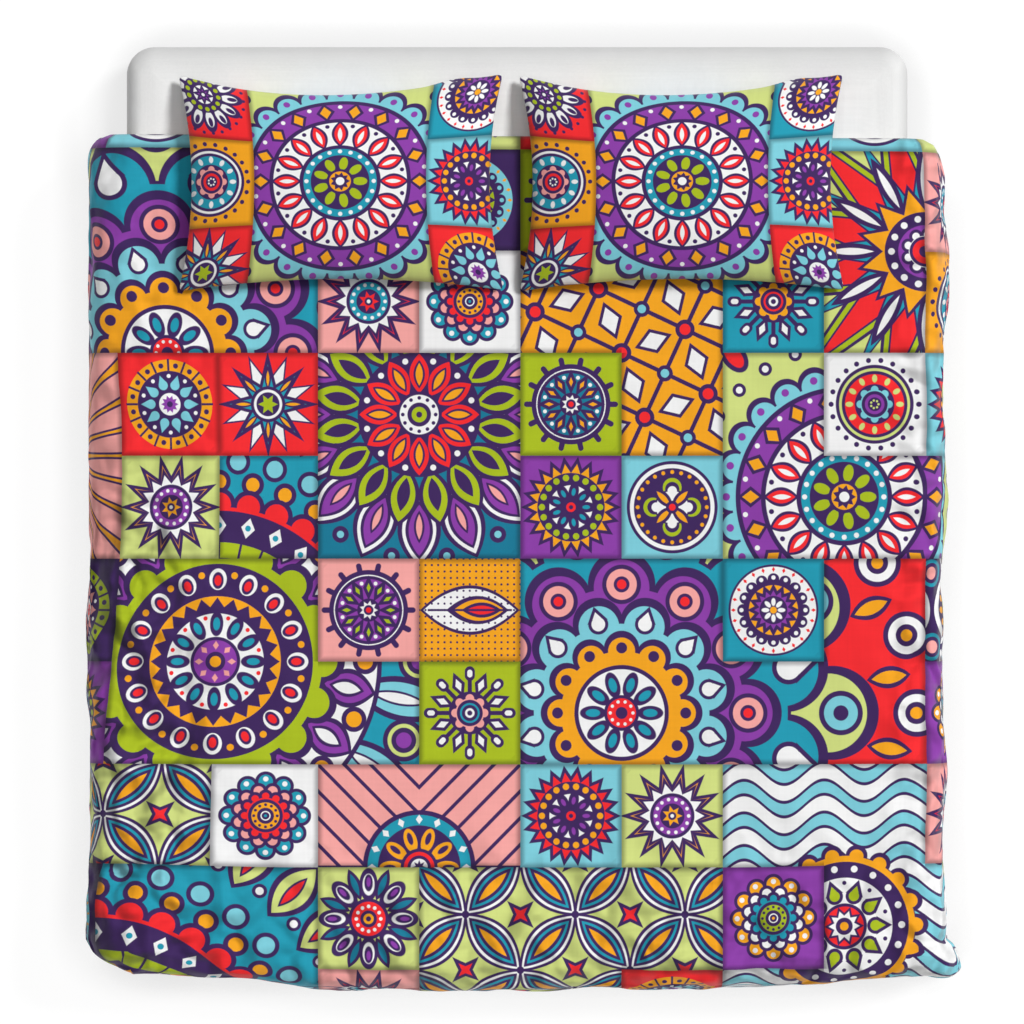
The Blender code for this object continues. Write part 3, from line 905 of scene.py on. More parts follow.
def fall(distance, length, flare, lift):
    """Outward and downward reach of the duvet at a distance past the bend, lift above its resting side.

    A round bend over the mattress edge, then a nearly upright drop that swings out by flare at the hem. The
    lift is added square to that line.
    """
    bend_length = BEND_RADIUS * FALL_ANGLE
    angle = np.minimum(distance / BEND_RADIUS, FALL_ANGLE)
    drop = np.maximum(0, distance - bend_length)
    share = drop / (length - bend_length)
    out = BEND_RADIUS * np.sin(angle) + drop * math.cos(FALL_ANGLE) + flare * share ** FLARE_POWER
    down = BEND_RADIUS * (1 - np.cos(angle)) + drop * math.sin(FALL_ANGLE)
    slope = np.cos(angle) + FLARE_POWER * flare / (length - bend_length) * share ** (FLARE_POWER - 1)
    steep = np.hypot(np.sin(angle), slope)
    return out + lift * np.sin(angle) / steep, down - lift * slope / steep


def sunk(distance):
    """Where the filling of a fall has sunk to: it rises from 0 to 1 round the bend, and fades lower down."""
    return smooth_step(distance / SINK_RISE) * (1 - smooth_step((distance - SINK_END) / SINK_FADE))


def duvet_points(across, along, lift):
    """Places of points of the duvet that lie lift above its resting side.

    across and along are measured on the cloth laid flat. Past a bend line the cloth falls. At a foot corner
    both falls meet, and the cloth runs round the corner like a cone: its angle tells how it is shared between
    the side and the foot.
    """
    right = across > 0
    past_side = np.maximum(0, np.abs(across) - SIDE_BEND_X) / SIDE_FALL
    past_foot = np.maximum(0, -FOOT_BEND_Y - along) / FOOT_FALL
    x = np.clip(across, -SIDE_BEND_X, SIDE_BEND_X)
    y = np.maximum(-FOOT_BEND_Y, along)
    near_side = smooth_step((np.abs(x) - EASE_START) / EASE_REACH)
    near_foot = smooth_step((-y - EASE_START) / EASE_REACH)
    y = y + FOOT_BEND_EASE * near_side * near_foot
    fade = smooth_step((along - HEAD_EDGE_Y + SKEW_FADE) / SKEW_FADE)
    y = y - (HEAD_EDGE_Y - head_edge(x)) * fade
    angle = np.arctan2(past_foot, past_side)
    side_share = np.cos(angle) ** 2
    foot_share = np.sin(angle) ** 2
    side_swing = np.where(right, swing(y, RIGHT_FLUTES), swing(y, LEFT_FLUTES))
    degrees = np.degrees(angle)
    corner = np.where(right, swing(degrees, RIGHT_CORNER_FLUTES), swing(degrees, LEFT_CORNER_FLUTES))
    in_corner = (past_side > 0) & (past_foot > 0)
    swung = side_swing * side_share + swing(x, FOOT_FLUTES) * foot_share + np.where(in_corner, corner, 0)
    flare = SIDE_FLARE * side_share + FOOT_FLARE * foot_share + swung
    length = SIDE_FALL * side_share + FOOT_FALL * foot_share
    past = np.maximum(past_side, past_foot) * (1 + CORNER_DIP * np.sin(2 * angle) ** 2)
    fuller = SIDE_SINK * side_share + FOOT_SINK * foot_share + SINK_SWING * swung / DUVET_LOFT
    lift = lift * (1 + fuller * sunk(past * length))
    out, down = fall(past * length, length, flare, lift)
    flat = (past_side == 0) & (past_foot == 0)
    out = np.where(flat, 0, out)
    down = np.where(flat, -lift, down)
    y = y - np.where(right, HEAD_CORNER_DROOP * fade * past_side ** 2, 0)
    turn = np.where(right, np.cos(angle), -np.cos(angle))
    return np.stack((x + out * turn, y - out * np.sin(angle), DUVET_BED - down), axis=-1)


def on_resting_side(printed, bend):
    """A distance measured on the printed side, as one on the resting side.

    Round a bend the printed side is the longer, by the ratio of the two radii.
    """
    outer = BEND_RADIUS + DUVET_LOFT
    in_bend = np.clip(printed - bend, 0, outer * FALL_ANGLE)
    return printed - in_bend * (1 - BEND_RADIUS / outer)


def on_printed_side(resting):
    """The reach of the print past a bend line, for a fall measured on the resting side."""
    return resting + DUVET_LOFT * FALL_ANGLE


def bow(x, y):
    """How far the print is pushed to the right on the left side of the bed: most halfway down its length."""
    share = smooth_step((x - BOW_START) / BOW_RISE) * (1 - smooth_step((x - BOW_START - BOW_RISE) / BOW_FADE))
    return (BOW * bell(y, BOW_Y, BOW_REACH) - BOW_REST) * share


def new_piece(name, mesh):
    """An object with this mesh, in the scene."""
    piece = bpy.data.objects.new(name, mesh)
    bpy.context.scene.collection.objects.link(piece)
    return piece


def lay_map(mesh, name, places):
    """A UV map with a place for each corner of each face."""
    mesh.uv_layers.new(name=name).data.foreach_set("uv", places.astype(np.float32).ravel())


def lay_values(mesh, name, domain, values):
    """An attribute with a value for each point or for each corner of each face."""
    mesh.attributes.new(name, "FLOAT", domain).data.foreach_set("value", values.astype(np.float32).ravel())


def sewn_mesh(name, front, back):
    """A closed mesh of two panels of the same grid, front over back, that share their edge points.

    Returns the object and, for each corner of each face, the row and column of its point on the grid.
    """
    rows, columns = front.shape[:2]
    number = np.arange(rows * columns).reshape(rows, columns)
    behind = number.copy()
    inner = (rows - 2) * (columns - 2)
    behind[1:-1, 1:-1] = number.size + np.arange(inner).reshape(rows - 2, columns - 2)
    points = np.concatenate((front.reshape(-1, 3), back[1:-1, 1:-1].reshape(-1, 3)))
    row, column = np.mgrid[0:rows - 1, 0:columns - 1]
    ring = ((0, 0), (0, 1), (1, 1), (1, 0))
    corner_rows = np.stack([(row + step).ravel() for step, _ in ring], axis=1)
    corner_columns = np.stack([(column + step).ravel() for _, step in ring], axis=1)
    up = number[corner_rows, corner_columns]
    down = behind[corner_rows, corner_columns][:, ::-1]
    mesh = bpy.data.meshes.new(name)
    mesh.from_pydata(points, [], np.concatenate((up, down)))
    mesh.shade_smooth()
    corner_rows = np.concatenate((corner_rows, corner_rows[:, ::-1]))
    corner_columns = np.concatenate((corner_columns, corner_columns[:, ::-1]))
    return new_piece(name, mesh), corner_rows, corner_columns


def patch_lines(low, high, start, pitch, cells):
    """Grid lines from low to high: cells to each patch, whose borders lie at start plus whole pitches."""
    first = math.floor((low - start) / pitch)
    last = math.ceil((high - start) / pitch)
    borders = start + pitch * np.arange(first, last + 1)
    borders = np.unique(np.clip(borders, low, high))
    lines = [np.array([low])]
    for near, far in zip(borders[:-1], borders[1:]):
        steps = max(1, round(cells * (far - near) / pitch))
        lines.append(np.linspace(near, far, steps + 1)[1:])
    return np.concatenate(lines)


def block_table(letter_rows, blocks):
    """Number of the block at each patch, and the list of all blocks, the single patches included."""
    table = np.zeros((len(letter_rows), len(letter_rows[0])), int)
    found = list(blocks)
    for number, block in enumerate(blocks):
        table[block.row:block.row + block.high, block.column:block.column + block.wide] = number
    for row, letters in enumerate(letter_rows):
        for column, letter in enumerate(letters):
            if letter != ".":
                table[row, column] = len(found)
                found.append(Block(column, row, 1, 1, PATCH_LETTERS[letter], 0.5, 0.5, 0))
    return table, found


def border_distance(table, row, column, across, down):
    """Distance in millimetres from the nearest side of the block, for corners of faces in its patches.

    A side of a patch counts only where the patch beyond it belongs to another block.
    """
    padded = np.pad(table, 1, mode="edge")
    own = padded[row + 1, column + 1]
    nearest = np.full(across.shape, FAR_FROM_BORDER)
    sides = ((0, -1, across - column[:, None]), (0, 1, column[:, None] + 1 - across),
             (-1, 0, down - row[:, None]), (1, 0, row[:, None] + 1 - down))
    for step_down, step_across, distance in sides:
        beyond = padded[row + 1 + step_down, column + 1 + step_across]
        side = np.where((beyond != own)[:, None], np.maximum(distance, 0) * PATCH, FAR_FROM_BORDER)
        nearest = np.minimum(nearest, side)
    return nearest


def lay_print(mesh, across, down, letter_rows, blocks, materials, plain):
    """Give each face its patch's motif, and the corners their places on it.

    across and down are each corner's place in patches from the patchwork's top left corner. The UV map
    "motif" holds a corner's place from its motif's middle and the UV map "cloth" its place on the cloth, both
    in drawn millimetres. The attribute "border" is its distance from the sides of its block. plain tells
    which faces take the plain cloth, whose material comes after the printed ones.
    """
    table, blocks = block_table(letter_rows, blocks)
    column = np.clip(np.floor(across.mean(axis=1)).astype(int), 0, table.shape[1] - 1)
    row = np.clip(np.floor(down.mean(axis=1)).astype(int), 0, table.shape[0] - 1)
    block = table[row, column]
    facts = np.array([(b.column + b.across, b.row + b.down, math.radians(b.turn)) for b in blocks])[block]
    middle_across, middle_down, turn = facts.T[..., None]
    right = (across - middle_across) * PATCH
    up = (middle_down - down) * PATCH
    turned = (right * np.cos(turn) + up * np.sin(turn), up * np.cos(turn) - right * np.sin(turn))
    motif = np.stack(turned, axis=-1)
    cloth = np.stack((across, -down), axis=-1) * PATCH
    border = border_distance(table, row, column, across, down)
    names = sorted({b.motif for b in blocks})
    slots = np.array([names.index(b.motif) for b in blocks])[block]
    for name in names:
        mesh.materials.append(materials[name])
    mesh.polygons.foreach_set("material_index", np.where(plain, len(names), slots).astype(np.int32))
    lay_map(mesh, "motif", motif)
    lay_map(mesh, "cloth", cloth)
    lay_values(mesh, "border", "CORNER", border)


def lay_bake_map(mesh, corner_rows, corner_columns, behind, front_share):
    """A UV map named OFBake: the front fills front_share of its height, the back the rest."""
    across = corner_columns / corner_columns.max()
    up = corner_rows / corner_rows.max()
    low = np.where(behind, front_share + BAKE_MARGIN, BAKE_MARGIN)[:, None]
    high = np.where(behind, 1.0, front_share)[:, None] - BAKE_MARGIN
    places = np.stack((BAKE_MARGIN + across * (1 - 2 * BAKE_MARGIN), low + up * (high - low)), axis=-1)
    lay_map(mesh, "OFBake", places)


def duvet_panels(across, along, print_x, print_y):
    """Places of the duvet's front and back, which meet at the seam and part to the full loft inside it.

    across and along are measured on the resting side, print_x and print_y on the printed one.
    """
    to_side = SIDE_BEND_X + SIDE_FALL - np.abs(across)
    to_foot = along + FOOT_BEND_Y + FOOT_FALL
    to_head = HEAD_EDGE_Y - along
    distance = np.minimum(np.minimum(to_side, to_foot), to_head)
    ramp = seam_ramp(distance)
    in_corner = smooth_step(1 - to_side / SIDE_FALL) * smooth_step(1 - to_foot / FOOT_FALL)
    full = (DUVET_LOFT - DUVET_SEAM + swell_height(across, along)) * (1 - CORNER_SLACK * in_corner)
    run = np.where(to_side < np.minimum(to_foot, to_head), print_y, print_x)
    relief = ripple_height(print_x, print_y) - crease_depth(print_x, print_y) + puckers(run, distance)
    front = duvet_points(across, along, DUVET_SEAM + (full + relief) * ramp)
    back = duvet_points(across, along, DUVET_SEAM * (1 - ramp))
    return front, back


def make_duvet(materials, plain):
    """The duvet in its cover: a printed front panel over a plain back, sewn together and draped."""
    reach_x = SIDE_BEND_X + on_printed_side(SIDE_FALL)
    reach_y = FOOT_BEND_Y + on_printed_side(FOOT_FALL)
    columns = patch_lines(-reach_x, reach_x, PATCHWORK_X, PATCH_WIDTH, PATCH_CELLS)
    rows = patch_lines(-reach_y, HEAD_EDGE_Y, PATCHWORK_Y, PATCH_LENGTH, PATCH_CELLS)
    columns = np.sort(np.append(columns, (HEM_TURN - reach_x, reach_x - HEM_TURN)))
    rows = np.sort(np.append(rows, HEM_TURN - reach_y))
    print_x, print_y = np.meshgrid(columns, rows)
    moved_x = print_x + bow(print_x, print_y)
    across = np.sign(moved_x) * on_resting_side(np.abs(moved_x), SIDE_BEND_X)
    along = -on_resting_side(-print_y, FOOT_BEND_Y)
    front, back = duvet_panels(across, along, print_x, print_y)
    duvet, corner_rows, corner_columns = sewn_mesh("duvet", front, back)
    across_patches = (columns[corner_columns] - PATCHWORK_X) / PATCH_WIDTH
    down_patches = (PATCHWORK_Y - rows[corner_rows]) / PATCH_LENGTH
    behind = np.arange(len(corner_rows)) >= len(corner_rows) // 2
    at_side = (corner_columns.min(axis=1) == 0) | (corner_columns.max(axis=1) == columns.size - 1)
    turned_over = at_side | (corner_rows.min(axis=1) == 0)
    lay_print(duvet.data, across_patches, down_patches, PATCH_ROWS, BLOCKS, materials, behind | turned_over)
    duvet.data.materials.append(plain)
    lay_bake_map(duvet.data, corner_rows, corner_columns, behind, DUVET_FRONT_SHARE)
    slack = slackness(columns[corner_columns], rows[corner_rows])
    lay_values(duvet.data, "slack", "CORNER", slack)
    return duvet


def rounded_corners(u, v):
    """u and v from -1 to 1 with the corners of their square rounded off.

    In each corner a and b run from 0 to 1 towards the edges, and a * sqrt(1 - b * b / 2) with its like for b
    turns that little square into a quarter disc.
    """
    reach_u = PILLOW_CORNER_RADIUS / (PILLOW_WIDTH / 2)
    reach_v = PILLOW_CORNER_RADIUS / (PILLOW_LENGTH / 2)
    a = np.clip(1 - (1 - np.abs(u)) / reach_u, 0, 1)
    b = np.clip(1 - (1 - np.abs(v)) / reach_v, 0, 1)
    round_u = u + np.sign(u) * reach_u * a * (np.sqrt(1 - b * b / 2) - 1)
    round_v = v + np.sign(v) * reach_v * b * (np.sqrt(1 - a * a / 2) - 1)
    return round_u, round_v


def pillow_seam(u, v):
    """Places in the seam's own surface at u, v from -1 to 1: its edges are drawn in between the corners."""
    side = PILLOW_WIDTH / 2 - PILLOW_SIDE_DRAW * (1 - v * v)
    head = PILLOW_HEAD_DRAW * (1 - u * u) * (1 + PILLOW_HEAD_DRAW_PLACE * u)
    foot = PILLOW_FOOT_DRAW * (1 - u * u)
    length = PILLOW_LENGTH / 2 - np.where(v > 0, head, foot)
    corner = ((u * u + v * v) / 2) ** PILLOW_DROOP_POWER
    droop = PILLOW_CORNER_DROOP * corner + PILLOW_HEAD_SAG * smooth_step(v)
    return u * side, v * length, DUVET_TOP + PILLOW_SEAM_HEIGHT - droop


def pillow_rest(x, y):
    """Lowest that a pillow's back may reach: the duvet's top, then a step down past its head edge."""
    past_edge = (y - head_edge(x) + DUVET_SEAM) / PILLOW_STEP_REACH
    return DUVET_TOP + PILLOW_REST_GAP - (DUVET_LOFT - PILLOW_REST_GAP) * smooth_step(past_edge)


def pillow_points(u, v, middle_x):
    """Places of a pillow cover's front and back: crowned, drawn in to the seam, flat where it rests."""
    x, y, seam = pillow_seam(*rounded_corners(u, v))
    open_x = 1 - np.abs(u) ** PILLOW_FULLNESS
    open_y = 1 - np.abs(v) ** PILLOW_FULLNESS
    full = np.maximum(0, open_x * open_y) ** PILLOW_ROUNDNESS
    inside = np.minimum(1, full / PILLOW_BULGE_ONSET)
    near_corners = sum(share * bell(u, place, reach) for share, place, reach in PILLOW_BULGES)
    back_y = y + PILLOW_BACK_BULGE * bell(v, PILLOW_BULGE_PLACE, PILLOW_BULGE_REACH) * inside * near_corners
    places = []
    for along, height in ((y, seam + PILLOW_CROWN * full), (back_y, seam - PILLOW_BELLY * full)):
        turned_x = x * math.cos(PILLOW_TURN) - along * math.sin(PILLOW_TURN) + middle_x
        turned_y = x * math.sin(PILLOW_TURN) + along * math.cos(PILLOW_TURN) + PILLOW_MIDDLE_Y
        places.append([turned_x, turned_y, height])
    places[1][2] = np.maximum(places[1][2], pillow_rest(places[1][0], places[1][1]))
    return np.stack(places[0], axis=-1), np.stack(places[1], axis=-1)


def seam_waves(u, v):
    """How far the sewn edge of a pillow puckers up and down, from its place round the edge."""
    run = np.where(np.abs(u) > np.abs(v), v * PILLOW_LENGTH / 2 + PILLOW_PUCKER_OFFSET, u * PILLOW_WIDTH / 2)
    waves = sum(np.sin(2 * math.pi * run / wave + PILLOW_PUCKER_PHASE * wave) for wave in PILLOW_PUCKER_WAVES)
    return PILLOW_PUCKER * waves * (1 - (u * v) ** 4)


def add_cloth(pillow, flat):
    """Cloth that was cut to the flat panels and is held in the group seam, under pressure from inside."""
    pillow.shape_key_add(name="filled")
    cut = pillow.shape_key_add(name="cut")
    cut.data.foreach_set("co", flat.astype(np.float32).ravel())
    cloth = pillow.modifiers.new("cloth", "CLOTH")
    for name, value in FILLING_CLOTH.items():
        setattr(cloth.settings, name, value)
    cloth.settings.vertex_group_mass = "seam"
    cloth.settings.rest_shape_key = cut
    cloth.settings.effector_weights.gravity = 0
    cloth.collision_settings.use_collision = False
    cloth.point_cache.frame_end = PILLOW_FRAMES
    return cloth


def plump(pillow, flat, sewn):
    """Places of the points of a pillow cover once it is filled: none moves further than PILLOW_CAP."""
    start = np.empty(len(pillow.data.vertices) * 3, np.float32)
    pillow.data.vertices.foreach_get("co", start)
    pillow.vertex_groups.new(name="seam").add(sewn.tolist(), 1.0, "REPLACE")
    cloth = add_cloth(pillow, flat)
    scene = bpy.context.scene
    for number in range(1, PILLOW_FRAMES + 1):
        scene.frame_set(number)
    shaped = pillow.evaluated_get(bpy.context.evaluated_depsgraph_get()).data
    filled = np.empty_like(start)
    shaped.vertices.foreach_get("co", filled)
    pillow.modifiers.remove(cloth)
    pillow.shape_key_clear()
    pillow.vertex_groups.clear()
    scene.frame_set(1)
    start = start.reshape(-1, 3)
    move = filled.reshape(-1, 3) - start
    length = np.linalg.norm(move, axis=1, keepdims=True)
    return start + move * np.minimum(1, PILLOW_CAP / np.maximum(length, 1e-9))


def fill_pillow(pillow, u, v):
    """Plump the pillow cover from its flat-cut panels, and keep its back on what it rests on."""
    cut_u, cut_v = rounded_corners(u, v)
    flat = np.stack((cut_u * PILLOW_CUT_WIDTH / 2, cut_v * PILLOW_CUT_LENGTH / 2, 0 * u), axis=-1)
    flat = np.concatenate((flat.reshape(-1, 3), flat[1:-1, 1:-1].reshape(-1, 3)))
    sewn = np.flatnonzero(np.maximum(np.abs(u), np.abs(v)).ravel() > PILLOW_SEWN)
    points = plump(pillow, flat, sewn)
    behind = np.arange(len(points)) >= u.size
    rest = pillow_rest(points[:, 0], points[:, 1])
    points[:, 2] = np.where(behind, np.maximum(points[:, 2], rest), points[:, 2])
    pillow.data.vertices.foreach_set("co", points.astype(np.float32).ravel())
    pillow.data.update()


def make_pillow(name, middle_x, materials):
    """A pillow in its printed cover: two flat-cut panels sewn round the edge and filled."""
    columns = patch_lines(-PILLOW_WIDTH / 2, PILLOW_WIDTH / 2, 0, PILLOW_PATCH, PILLOW_CELLS)
    rows = patch_lines(-PILLOW_LENGTH / 2, PILLOW_LENGTH / 2, 0, PILLOW_PATCH, PILLOW_CELLS)
    u, v = np.meshgrid(columns / (PILLOW_WIDTH / 2), rows / (PILLOW_LENGTH / 2))
    front, back = pillow_points(u, v, middle_x)
    edge = np.maximum(np.abs(u), np.abs(v))
    lift = seam_waves(u, v) * np.clip((edge - PILLOW_PUCKER_FLAT) / (1 - PILLOW_PUCKER_FLAT), 0, 1) ** 2
    front[..., 2] += lift
    back[..., 2] += lift
    pillow, corner_rows, corner_columns = sewn_mesh(name, front, back)
    fill_pillow(pillow, u, v)
    across_patches = len(PILLOW_ROWS[0]) / 2 + columns[corner_columns] / PILLOW_PATCH
    down_patches = len(PILLOW_ROWS) / 2 - rows[corner_rows] / PILLOW_PATCH
    plain = np.zeros(len(corner_rows), bool)
    lay_print(pillow.data, across_patches, down_patches, PILLOW_ROWS, PILLOW_BLOCKS, materials, plain)
    behind = np.arange(len(corner_rows)) >= len(corner_rows) // 2
    lay_bake_map(pillow.data, corner_rows, corner_columns, behind, PILLOW_FRONT_SHARE)
    smooth = pillow.modifiers.new("smooth", "SUBSURF")
    smooth.levels = 1
    smooth.render_levels = 1
    smooth.uv_smooth = "NONE"
    return pillow


def slab_profile():
    """Inset from the outline and height, from the middle of the underside to the middle of the top.

    The profile runs out across the underside, round a quarter-round rim, up the side and over a like rim.
    """
    quarter = np.radians(np.linspace(0, 90, MATTRESS_ARC_POINTS))
    across_face = np.linspace(MATTRESS_MIDDLE_INSET, MATTRESS_EDGE_RADIUS, MATTRESS_FACE_RINGS)
    inset = np.concatenate((
        across_face,
        MATTRESS_EDGE_RADIUS * (1 - np.sin(quarter[1:])),
        MATTRESS_EDGE_RADIUS * (1 - np.cos(quarter)),
        across_face[::-1][1:],
    ))
    height = np.concatenate((
        np.zeros(MATTRESS_FACE_RINGS),
        MATTRESS_EDGE_RADIUS * (1 - np.cos(quarter[1:])),
        MATTRESS_DEPTH - MATTRESS_EDGE_RADIUS * (1 - np.sin(quarter)),
        np.full(MATTRESS_FACE_RINGS - 1, MATTRESS_DEPTH),
    ))
    return inset, height


def slab_outline(inset):
    """The rounded rectangle of the mattress drawn in by each inset: a quarter circle round each corner."""
    quarter = np.radians(np.linspace(0, 90, MATTRESS_ARC_POINTS))
    radius = np.maximum(MATTRESS_CORNER_RADIUS - inset, MATTRESS_LEAST_RADIUS)[:, None]
    arcs = []
    for side_x, side_y, start in ((1, 1, 0), (-1, 1, 90), (-1, -1, 180), (1, -1, 270)):
        turn = np.radians(start) + quarter
        middle_x = side_x * (MATTRESS_HALF_WIDTH - inset[:, None] - radius)
        middle_y = side_y * (MATTRESS_HALF_LENGTH - inset[:, None] - radius)
        arcs.append(np.stack((middle_x + radius * np.cos(turn), middle_y + radius * np.sin(turn)), axis=-1))
    return np.concatenate(arcs, axis=1)


def make_mattress(ticking):
    """A plain rounded slab: each ring of points is the outline drawn in and raised as the profile tells.

    At the uncovered head end its top falls away softly towards the rim, with the square of the distance.
    """
    inset, height = slab_profile()
    outline = slab_outline(inset)
    uncovered = smooth_step((outline[..., 1] - MATTRESS_OPEN_Y) / MATTRESS_OPEN_REACH)
    near_rim = np.maximum(0, 1 - inset / MATTRESS_CROWN_REACH)[:, None] ** 2
    upper = (height > MATTRESS_DEPTH / 2)[:, None]
    level = height[:, None] - MATTRESS_CROWN * near_rim * uncovered * upper
    spread = outline * (1 + MATTRESS_HEAD_SPREAD * uncovered[..., None])
    points = np.concatenate((spread, level[..., None]), axis=-1)
    count, around = points.shape[:2]
    number = np.arange(count * around).reshape(count, around)
    beside = np.roll(number, -1, axis=1)
    faces = np.stack((number[:-1], beside[:-1], beside[1:], number[1:]), axis=-1).reshape(-1, 4)
    mesh = bpy.data.meshes.new("mattress_slab")
    ends = [list(number[0][::-1]), list(number[-1])]
    mesh.from_pydata(points.reshape(-1, 3), [], [list(face) for face in faces] + ends)
    mesh.shade_smooth()
    # Painted shade: rim runs from 0 inside to 1 at the top's edge, at the head and the sides, and darkens the
    # ticking there
    from_head = (MATTRESS_HALF_LENGTH - outline[..., 1]) / MATTRESS_RIM_SHADE_FROM_HEAD
    from_side = (MATTRESS_HALF_WIDTH - np.abs(outline[..., 0])) / MATTRESS_RIM_SHADE_FROM_SIDE
    rim = np.maximum(0, 1 - np.minimum(from_head, from_side)) ** 2 * upper
    lay_values(mesh, "rim", "POINT", rim)
    mesh.materials.append(ticking)
    return new_piece("mattress_slab", mesh)


def add(tree, kind, inputs=(), out=0, **settings):
    """Add a node with its settings, set or link its inputs by order or by name, and give one output."""
    node = tree.nodes.new("ShaderNode" + kind)
    for name, value in settings.items():
        setattr(node, name, value)
    pairs = inputs.items() if isinstance(inputs, dict) else enumerate(inputs)
    for key, value in pairs:
        if isinstance(value, bpy.types.NodeSocket):
            tree.links.new(value, node.inputs[key])
        else:
            node.inputs[key].default_value = value
    return node.outputs[out]


def coordinate(tree, vector, axis):
    """One coordinate of a vector: axis 0 is across and 1 is up."""
    return add(tree, "SeparateXYZ", (vector,), axis)


def maths(tree, operation, *inputs, **settings):
    """A number worked out from numbers."""
    return add(tree, "Math", inputs, operation=operation, **settings)


def measure(tree, operation, *inputs):
    """A number worked out from vectors."""
    return add(tree, "VectorMath", inputs, "Value", operation=operation)


def mixed(tree, share, colour, other, **settings):
    """A colour mixed with another, by the share of the other."""
    return add(tree, "Mix", {0: share, 6: colour, 7: other}, 2, data_type="RGBA", **settings)


def folded(tree, place, count, turn):
    """Fold the plane round the motif's middle into half a sector, as paper is folded for a paper star.

    The angle runs up and down between 0 and half a sector, so that one form shows count times.
    """
    across = coordinate(tree, place, 0)
    up = coordinate(tree, place, 1)
    sector = 2 * math.pi / count
    angle = maths(tree, "ARCTAN2", up, across)
    angle = maths(tree, "ADD", angle, turn * sector)
    angle = maths(tree, "PINGPONG", angle, sector / 2)
    along = maths(tree, "COSINE", angle)
    aside = maths(tree, "SINE", angle)
    way = add(tree, "CombineXYZ", (along, aside))
    radius = measure(tree, "LENGTH", place)
    return add(tree, "VectorMath", {0: way, "Scale": radius}, operation="SCALE")


def in_cell(tree, place, cell, shift):
    """The place measured from the middle of its own cell of a square grid."""
    moved = add(tree, "VectorMath", (place, (shift * cell, shift * cell, 0)), operation="ADD")
    low, high = (-cell / 2, -cell / 2, -1), (cell / 2, cell / 2, 1)
    return add(tree, "VectorMath", (moved, high, low), operation="WRAP")


def disc_edge(tree, form, place, sector):
    """Distance from the middle less the disc's radius."""
    radius = measure(tree, "LENGTH", place)
    return maths(tree, "SUBTRACT", radius, form.radius)


def beads_edge(tree, form, place, sector):
    """Distance from the bead's middle less its radius."""
    away = measure(tree, "DISTANCE", sector, (form.radius, 0, 0))
    return maths(tree, "SUBTRACT", away, form.size)


def scallops_edge(tree, form, place, sector):
    """A disc with beads round its edge: the lesser of the two distances."""
    bead = beads_edge(tree, form, place, sector)
    disc = disc_edge(tree, form, place, sector)
    return maths(tree, "MINIMUM", bead, disc)


def petals_edge(tree, form, place, sector):
    """An ellipse: a disc once the plane is squeezed along the petal."""
    slim = form.size / form.length
    squeeze = (sector, (slim, 1, 0), (-form.radius * slim, 0, 0))
    squeezed = add(tree, "VectorMath", squeeze, operation="MULTIPLY_ADD")
    away = measure(tree, "LENGTH", squeezed)
    return maths(tree, "SUBTRACT", away, form.size)


def star_edge(tree, form, place, sector):
    """Distance from the straight line between a tip and the valley beside it."""
    half = math.pi / form.count
    slope = (form.radius - form.size * math.cos(half)) / (form.size * math.sin(half))
    steep = math.hypot(1, slope)
    away = measure(tree, "DOT_PRODUCT", sector, (1 / steep, slope / steep, 0))
    return maths(tree, "SUBTRACT", away, form.radius / steep)


def leaves_edge(tree, form, place, sector):
    """A leaf with two points: its half width falls with the square of the distance from its middle."""
    along = coordinate(tree, sector, 0)
    aside = coordinate(tree, sector, 1)
    share = maths(tree, "MULTIPLY_ADD", along, 1 / form.length, -form.radius / form.length)
    square = maths(tree, "MULTIPLY", share, share)
    width = maths(tree, "MULTIPLY_ADD", square, form.size, -form.size)
    return maths(tree, "ADD", width, aside)


def along_bar(tree, form, sector):
    """How far the point is past the end of a bar, along it."""
    along = coordinate(tree, sector, 0)
    along = maths(tree, "SUBTRACT", along, form.radius)
    along = maths(tree, "ABSOLUTE", along)
    return maths(tree, "SUBTRACT", along, form.length)


def bars_edge(tree, form, place, sector):
    """A bar with square ends: the greater of the distances past its end and past its side."""
    aside = coordinate(tree, sector, 1)
    aside = maths(tree, "SUBTRACT", aside, form.size)
    return maths(tree, "MAXIMUM", along_bar(tree, form, sector), aside)


def pills_edge(tree, form, place, sector):
    """A bar with round ends: distance from its middle line less its half width."""
    past = maths(tree, "MAXIMUM", along_bar(tree, form, sector), 0.0)
    aside = coordinate(tree, sector, 1)
    away = add(tree, "CombineXYZ", (past, aside))
    away = measure(tree, "LENGTH", away)
    return maths(tree, "SUBTRACT", away, form.size)


def drops_edge(tree, form, place, sector):
    """A drop: a bead, and the two tangents from it to a tip length further out, or further in if under 0."""
    way = math.copysign(1, form.length)
    sine = form.size / abs(form.length)
    cosine = math.sqrt(1 - sine * sine)
    side = measure(tree, "DOT_PRODUCT", sector, (way * sine, cosine, 0))
    side = maths(tree, "SUBTRACT", side, way * sine * (form.radius + form.length))
    reach = way * form.radius + form.size * sine - form.line / 2
    base = maths(tree, "MULTIPLY_ADD", coordinate(tree, sector, 0), -way, reach)
    cone = maths(tree, "MAXIMUM", side, base)
    return maths(tree, "MINIMUM", beads_edge(tree, form, place, sector), cone)


def lozenges_edge(tree, form, place, sector):
    """Distance from the straight side of a diamond, whose half axes are length and size."""
    moved = add(tree, "VectorMath", (sector, (form.radius, 0, 0)), operation="SUBTRACT")
    moved = add(tree, "VectorMath", (moved,), operation="ABSOLUTE")
    span = math.hypot(form.length, form.size)
    away = measure(tree, "DOT_PRODUCT", moved, (form.size / span, form.length / span, 0))
    return maths(tree, "SUBTRACT", away, form.size * form.length / span)


